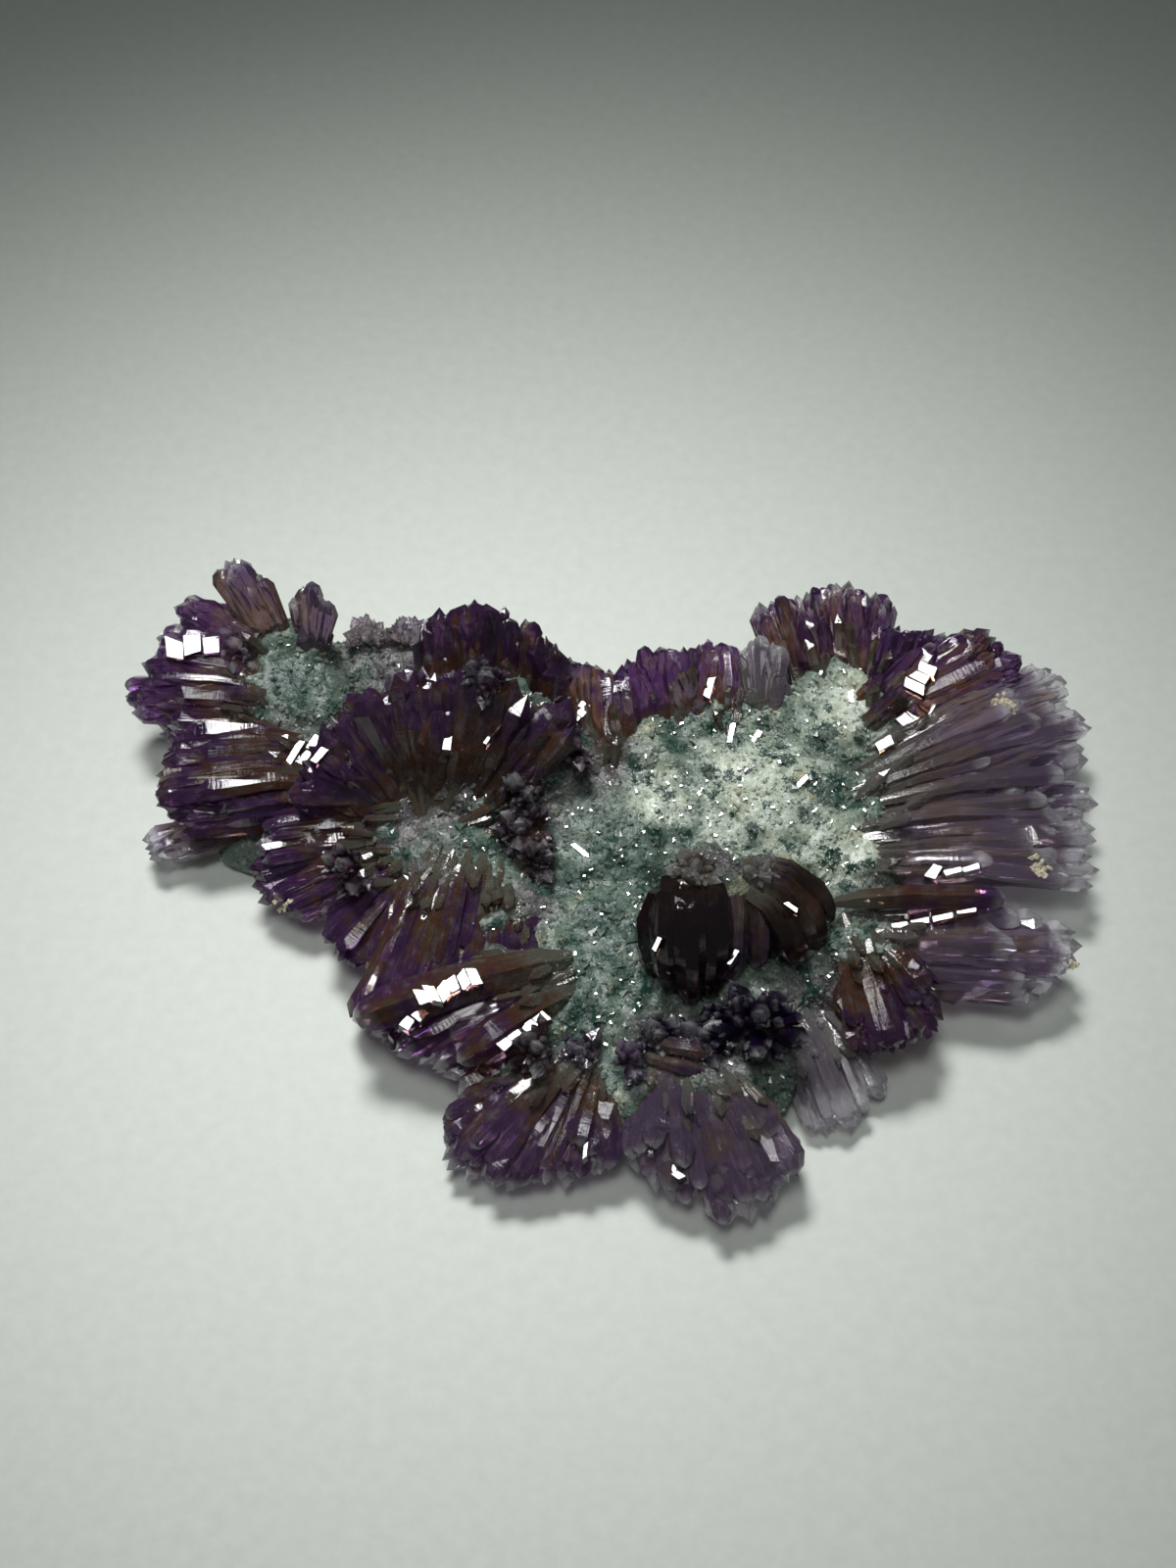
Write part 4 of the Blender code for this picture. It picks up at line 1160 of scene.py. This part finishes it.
# Larger points on some of the green spots.
TUFT_WIDTH = (1.2, 2.6)
TUFT_SHARE = 0.3
TUFT_GREEN = 0.7
GLINT_TONE = (0.0, 0.6, 0.0)


def druse_spots(stone, rng):
    """Places, directions, widths and tones of the fine points on the matrix."""
    mesh = stone.data
    mesh.calc_loop_triangles()
    usable = [t for t in mesh.loop_triangles if t.normal.z > DRUSE_FACING and t.center.z > DRUSE_FROM]
    areas = np.cumsum([t.area for t in usable])
    picks = np.searchsorted(areas, np.sort([rng.random() * areas[-1] for _ in range(DRUSE_COUNT)]))
    for pick in picks:
        triangle = usable[min(pick, len(usable) - 1)]
        a, b = sorted((rng.random(), rng.random()))
        one, two, three = (mesh.vertices[i].co for i in triangle.vertices)
        spot = (one * a + two * (b - a) + three * (1 - b)) / MM + OUTLINE_MIDDLE
        lean = scattered(rng, 1) * DRUSE_LEAN
        width = DRUSE_WIDTH[0] + (DRUSE_WIDTH[1] - DRUSE_WIDTH[0]) * rng.random() ** 3
        tone = stone_tone(spot)
        if tone[0] > TUFT_GREEN and rng.random() < TUFT_SHARE:
            width = rng.uniform(*TUFT_WIDTH)
        yield spot, (triangle.normal + lean).normalized(), width, tone


def druse(stone):
    """Fine crystal points all over the upper side of the matrix, as one joined mesh."""
    rng = random.Random("druse")
    corners, faces, tones = [], [], []
    for spot, axis, width, tone in druse_spots(stone, rng):
        side = axis.orthogonal().normalized()
        across = axis.cross(side)
        turn = rng.uniform(0, math.pi)
        height = 0.5 * width * PYRAMID_SLOPE * rng.uniform(*DRUSE_HEIGHT)
        first = len(corners)
        for corner in range(DRUSE_SIDES):
            angle = 2 * math.pi * corner / DRUSE_SIDES + turn
            out = (side * math.cos(angle) + across * math.sin(angle)) * width * 0.5
            corners.append(spot - axis * DRUSE_SUNK * height + out * rng.uniform(*DRUSE_CORNERS))
        corners.append(spot + axis * (1 - DRUSE_SUNK) * height)
        faces += fan(first, first + DRUSE_SIDES, DRUSE_SIDES)
        faces.append(tuple(first + corner for corner in reversed(range(DRUSE_SIDES))))
        tones += [tone] * (DRUSE_SIDES + 1)
    for _, plate, sides, _ in facets(stone, (*STONE_FACETS, *glints()), rng):
        faces += [tuple(len(corners) + corner for corner in side) for side in sides]
        corners += plate
        tones += [GLINT_TONE] * len(plate)
    made = mesh_object("druse", corners, faces)
    give_tones(made.data, tones)
    return made


# Facets that mirror the window to the camera: the point where the camera's line to each crosses the level at
# SIGHT_LEVEL, its heading in degrees, its length and width, and the number of pieces it is broken into.
SIGHT_LEVEL = 15.0
FACETS = (
    ((-79.1, 51.1), 8, 10.5, 4.5, 3),
    ((-56.9, 26.0), 65, 6.0, 1.6, 1),
    ((-54.5, 26.6), 65, 7.0, 1.8, 2),
    ((-52.4, 25.1), 60, 4.0, 1.5, 1),
    ((-28.3, 28.2), 88, 11.0, 2.0, 3),
    ((-19.5, 30.5), 60, 6.0, 0.7, 2),
    ((-18.0, 31.8), 55, 5.0, 0.6, 2),
    ((-2.5, 35.2), 50, 4.6, 1.8, 3),
    ((-13.7, 57.8), 170, 6.0, 2.6, 2),
    ((22.9, 41.0), 80, 5.0, 1.6, 1),
    ((64.2, 43.3), 55, 6.5, 4.5, 3),
    ((62.6, 35.0), 40, 7.5, 4.5, 3),
    ((56.0, 28.2), 20, 4.0, 2.0, 1),
    ((62.9, -0.2), 60, 3.5, 2.0, 1),
    ((68.3, 0.0), 10, 7.0, 1.2, 2),
    ((61.7, -9.5), 6, 17.0, 3.0, 4),
    ((24.7, -17.9), 60, 3.6, 1.8, 1),
    ((22.7, -24.8), 15, 4.0, 1.8, 1),
    ((39.9, -16.3), -10, 2.8, 1.4, 1),
    ((11.8, -14.7), 70, 5.0, 0.8, 1),
    ((36.0, -7.6), -40, 4.0, 0.9, 1),
    ((-26.1, -24.2), 25, 12.0, 3.8, 6),
    ((-32.0, -30.4), 50, 5.0, 2.2, 2),
    ((-34.8, -33.3), 50, 3.0, 1.6, 1),
    ((-18.7, -38.6), 60, 4.5, 2.6, 2),
    ((-14.9, -34.3), 50, 5.0, 2.6, 2),
    ((-10.6, -31.0), 45, 5.0, 2.6, 2),
    ((3.7, -36.5), 60, 3.0, 1.2, 1),
    ((-1.5, -54.6), 85, 5.0, 0.8, 1),
    ((14.1, -59.1), -60, 3.5, 1.4, 2),
)
STONE_FACETS = (
    ((26.6, 30.7), 80, 5.0, 1.3, 1),
    ((31.4, 29.5), 60, 3.0, 1.2, 2),
    ((50.3, 38.7), 90, 3.0, 1.0, 1),
    ((39.8, 19.1), 45, 3.6, 1.2, 1),
    ((-2.5, 4.2), -45, 4.5, 1.0, 1),
)
# Tiny ones all over the matrix: their number, where they lie, and their lengths and widths.
GLINT_COUNT = 280
GLINT_PLACES = ((-32, 62), (-42, 46))
GLINT_LENGTH = (0.35, 1.0)
GLINT_WIDTH = (0.25, 0.6)
FACET_CORNERS = ((-0.5, -0.5), (0.5, -0.5), (0.5, 0.5), (-0.5, 0.5))
FACET_JITTER = 0.08
FACET_NARROWED = (0.6, 1.1)
FACET_SKEW = 0.6
FACET_TOP = 0.3
FACET_NEARER = 0.35
FACET_DEPTH = 1.7
FACET_FLARE = 1.12
FACET_STYLE = Style(2.6, 0.85, 0.4, 0.6, 0, 0.3)
# The numbers of those that lie on the hanging rosette, and so are as dark as it.
DARK_FACETS = range(16, 21)
FACET_SHIFT = 0.15
FACET_PLACE, FACET_LENGTH, FACET_CLOUDED = (6.0, 0.2), 10.0, 4.0
FACET_HOME = 300
FACET_GAP = 0.88
FACET_TILT = 0.035


def camera_ahead():
    return Vector((0, math.cos(CAMERA_ELEVATION), -math.sin(CAMERA_ELEVATION)))


def plate_shape(rng):
    """The four corners of a thin flat crystal, as uneven shares of its length and width."""
    shift = rng.uniform(-0.5, 0.5)
    shape = []
    for a, b in FACET_CORNERS:
        ahead = a + rng.uniform(-1, 1) * FACET_JITTER
        shape.append((ahead, b * rng.uniform(*FACET_NARROWED) + ahead * shift * FACET_SKEW))
    return shape


def facets(surface, spots, rng):
    """Number, corners, faces and local places of thin flat crystals that mirror the window to the camera."""
    tree = BVHTree.FromObject(surface, bpy.context.evaluated_depsgraph_get())
    eye = CAMERA_AIM - camera_ahead() * CAMERA_DISTANCE
    window = Vector(WINDOW_PLACE) / MM + OUTLINE_MIDDLE
    for number, ((x, y), heading, length, width, pieces) in enumerate(spots):
        sight = (Vector((x, y, SIGHT_LEVEL)) - eye).normalized()
        hit = tree.ray_cast(place(eye), sight)[0]
        if hit is None:
            continue
        middle = hit / MM + OUTLINE_MIDDLE
        middle += (eye - middle).normalized() * FACET_NEARER * width
        normal = ((eye - middle).normalized() + (window - middle).normalized()).normalized()
        turn = math.radians(heading)
        course = Vector((math.cos(turn), math.sin(turn), 0))
        course = (course - normal * course.dot(normal)).normalized()
        across = normal.cross(course)
        step = length / pieces
        for piece in range(pieces):
            spot = middle + course * ((piece + 0.5) * step - length / 2)
            spot += across * rng.uniform(-FACET_SHIFT, FACET_SHIFT) * width
            spot += normal * (FACET_TOP + rng.uniform(-FACET_SHIFT, FACET_SHIFT))
            tilt = rng.uniform(-FACET_TILT, FACET_TILT)
            shape = plate_shape(rng)
            corners, places = [], []
            for flare, depth in ((1.0, 0.0), (FACET_FLARE, FACET_DEPTH)):
                for a, b in shape:
                    ahead, aside = a * step * FACET_GAP * flare, b * width * flare
                    corner = spot + course * ahead + across * aside - normal * (depth + tilt * ahead)
                    corner.z = max(corner.z, LOWEST[0])
                    corners.append(corner)
                    places.append((aside, -depth, FACET_PLACE[0] + ahead * FACET_PLACE[1]))
            sides = len(shape)
            faces = [tuple(range(sides)), tuple(reversed(range(sides, 2 * sides))), *band(0, sides, sides)]
            yield number, corners, faces, places


def glints():
    """Tiny facets at random places, in the same form as the lists above."""
    rng = random.Random("glints")
    for _ in range(GLINT_COUNT):
        spot = rng.uniform(*GLINT_PLACES[0]), rng.uniform(*GLINT_PLACES[1])
        yield spot, rng.uniform(0, 180), rng.uniform(*GLINT_LENGTH), rng.uniform(*GLINT_WIDTH), 1


def with_facets(growth):
    """The crystals with the window's facets grown into them."""
    rng = random.Random("facets")
    items = [growth]
    for number, corners, faces, places in facets(growth, FACETS, rng):
        item = mesh_object("facet", corners, faces)
        style = DARK if number in DARK_FACETS else FACET_STYLE
        stem = Stem(None, 0, 0, 0, 0, None, FACET_CLOUDED, FACET_HOME + number, style)
        describe(item, places, FACET_LENGTH, stem)
        items.append(item)
    return grown_together("amethyst_sprays", items)


# Calcite: places and spreads of the cream-coloured specks, and the eight-sided grain they are made of.
CALCITE_SPOTS = (((-58, -4), 1.6), ((79, 36), 2.4), ((83, 1), 2.4), ((88, -18), 1.3))
CALCITE_GRAINS = 26
CALCITE_SIZE = (0.35, 0.9)
CALCITE_WAYS = ((1, 0, 0), (0, 1, 0), (-1, 0, 0), (0, -1, 0), (0, 0, 0.7), (0, 0, -0.7))
CALCITE_FACES = ((0, 1, 4), (1, 2, 4), (2, 3, 4), (3, 0, 4), (1, 0, 5), (2, 1, 5), (3, 2, 5), (0, 3, 5))
CALCITE_REACH = (0.6, 1.2)
CALCITE_SPREAD = 0.5
CALCITE_FLATTENED = 0.6
ABOVE_ALL = 80


def calcite_material():
    """Dull cream-coloured crust."""
    wires = Wires("calcite")
    grit = wires.noise(wires.millimetres(), scale=1.6, detail=4.0)
    wires.set(
        Base_Color=wires.mix(wires.ramp(grit, 0.35, 0.65), colour(0.42, 0.34, 0.2), colour(0.74, 0.7, 0.58)),
        Roughness=0.75,
        Normal=wires.bump(grit, 0.5, 0.3),
    )
    return wires.material


def calcite(growth):
    """Small cream-coloured crusts on the petals, as one joined mesh."""
    rng = random.Random("calcite")
    tree = BVHTree.FromObject(growth, bpy.context.evaluated_depsgraph_get())
    corners, faces = [], []
    for (x, y), spread in CALCITE_SPOTS:
        for _ in range(CALCITE_GRAINS):
            side, ahead = (rng.gauss(0, CALCITE_SPREAD) * spread for _ in range(2))
            spot = Vector((x + side, y + ahead * CALCITE_FLATTENED, ABOVE_ALL))
            hit = tree.ray_cast(place(spot), Vector((0, 0, -1)))[0]
            if hit is None:
                continue
            middle = hit / MM + OUTLINE_MIDDLE
            size = rng.uniform(*CALCITE_SIZE)
            first = len(corners)
            for way in CALCITE_WAYS:
                corners.append(middle + Vector(way) * (size * rng.uniform(*CALCITE_REACH)))
            faces += [tuple(first + corner for corner in face) for face in CALCITE_FACES]
    return mesh_object("calcite_specks", corners, faces)


# Stage

CAMERA_AIM = Vector((-1.0, 24.5, 6.0))
CAMERA_ELEVATION = math.radians(58)
CAMERA_DISTANCE = 424.0
WINDOW_PLACE = (-0.12, 0.36, 0.70)
WINDOW_AIM = (-0.025, -0.006, 0)
WINDOW_SIZE = (0.26, 0.18)
WINDOW_POWER, WINDOW_SPREAD = 0.25, 32
CEILING_PLACE = (-0.1, -0.15, 1.1)
CEILING_AIM = (-0.02, 0.01, 0)
CEILING_SIZE = (0.35, 0.35)
CEILING_POWER, CEILING_SPREAD = 0.13, 29
ROOM_COLOUR = colour(0.8, 0.88, 0.86)
ROOM_STRENGTH = 0.1
FLOOR_SIZE = 1.6
FLOOR_LEVEL = -0.0001
PAPER_COLOURS = (colour(0.59, 0.63, 0.58), colour(0.7, 0.74, 0.69))


def camera():
    lens = bpy.data.cameras.new("camera")
    lens.lens = 50
    lens.sensor_width = 36
    item = bpy.data.objects.new("camera", lens)
    bpy.context.scene.collection.objects.link(item)
    item.location = place(CAMERA_AIM - camera_ahead() * CAMERA_DISTANCE)
    item.rotation_euler = (math.pi / 2 - CAMERA_ELEVATION, 0, 0)
    bpy.context.scene.camera = item


def paper_material():
    """Plain pale paper."""
    wires = Wires("paper")
    where = wires.millimetres()
    fibre = wires.noise(where, scale=0.35, detail=5.0)
    wires.set(
        Base_Color=wires.mix(fibre, *PAPER_COLOURS),
        Roughness=0.85,
        Normal=wires.bump(fibre, 0.2, 0.4),
    )
    return wires.material


def floor():
    half = FLOOR_SIZE / 2
    mesh = bpy.data.meshes.new("floor")
    corners = [(x * half, y * half, FLOOR_LEVEL) for x, y in ((-1, -1), (1, -1), (1, 1), (-1, 1))]
    mesh.from_pydata(corners, [], [(0, 1, 2, 3)])
    mesh.materials.append(paper_material())
    item = bpy.data.objects.new("floor", mesh)
    bpy.context.scene.collection.objects.link(item)


def softbox(name, where, aim, size, power, spread):
    """An area light, spread in degrees."""
    light = bpy.data.lights.new(name, "AREA")
    light.shape = "RECTANGLE"
    light.size, light.size_y = size
    light.energy = power
    light.spread = math.radians(spread)
    item = bpy.data.objects.new(name, light)
    item.location = where
    item.rotation_mode = "QUATERNION"
    item.rotation_quaternion = (Vector(aim) - Vector(where)).to_track_quat("-Z", "Y")
    bpy.context.scene.collection.objects.link(item)


def lights():
    """A window behind the specimen, a soft light overhead, and a dim room round them."""
    softbox("window", WINDOW_PLACE, WINDOW_AIM, WINDOW_SIZE, WINDOW_POWER, WINDOW_SPREAD)
    softbox("ceiling", CEILING_PLACE, CEILING_AIM, CEILING_SIZE, CEILING_POWER, CEILING_SPREAD)
    world = bpy.data.worlds.new("room")
    bpy.context.scene.world = world
    world.use_nodes = True
    background = world.node_tree.nodes["Background"]
    background.inputs["Color"].default_value = ROOM_COLOUR
    background.inputs["Strength"].default_value = ROOM_STRENGTH


def dress(item, material):
    """Gives a piece its material and body, and hides the replaced node."""
    item.data.materials.clear()
    item.data.materials.append(material)
    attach(item, "root")
    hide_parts(NODE)


def build():
    camera()
    floor()
    lights()
    growth = sprays()
    dress(growth, amethyst_material())
    stone = matrix_stone()
    dress(stone, matrix_material())
    crust = druse(stone)
    dress(crust, druse_material())
    specks = calcite(growth)
    dress(specks, calcite_material())
    for item in (growth, stone, crust, specks):
        item.data.calc_loop_triangles()
        print(item.name, "triangles", len(item.data.loop_triangles))


build()
bpy.context.scene.view_settings.view_transform = "Standard"
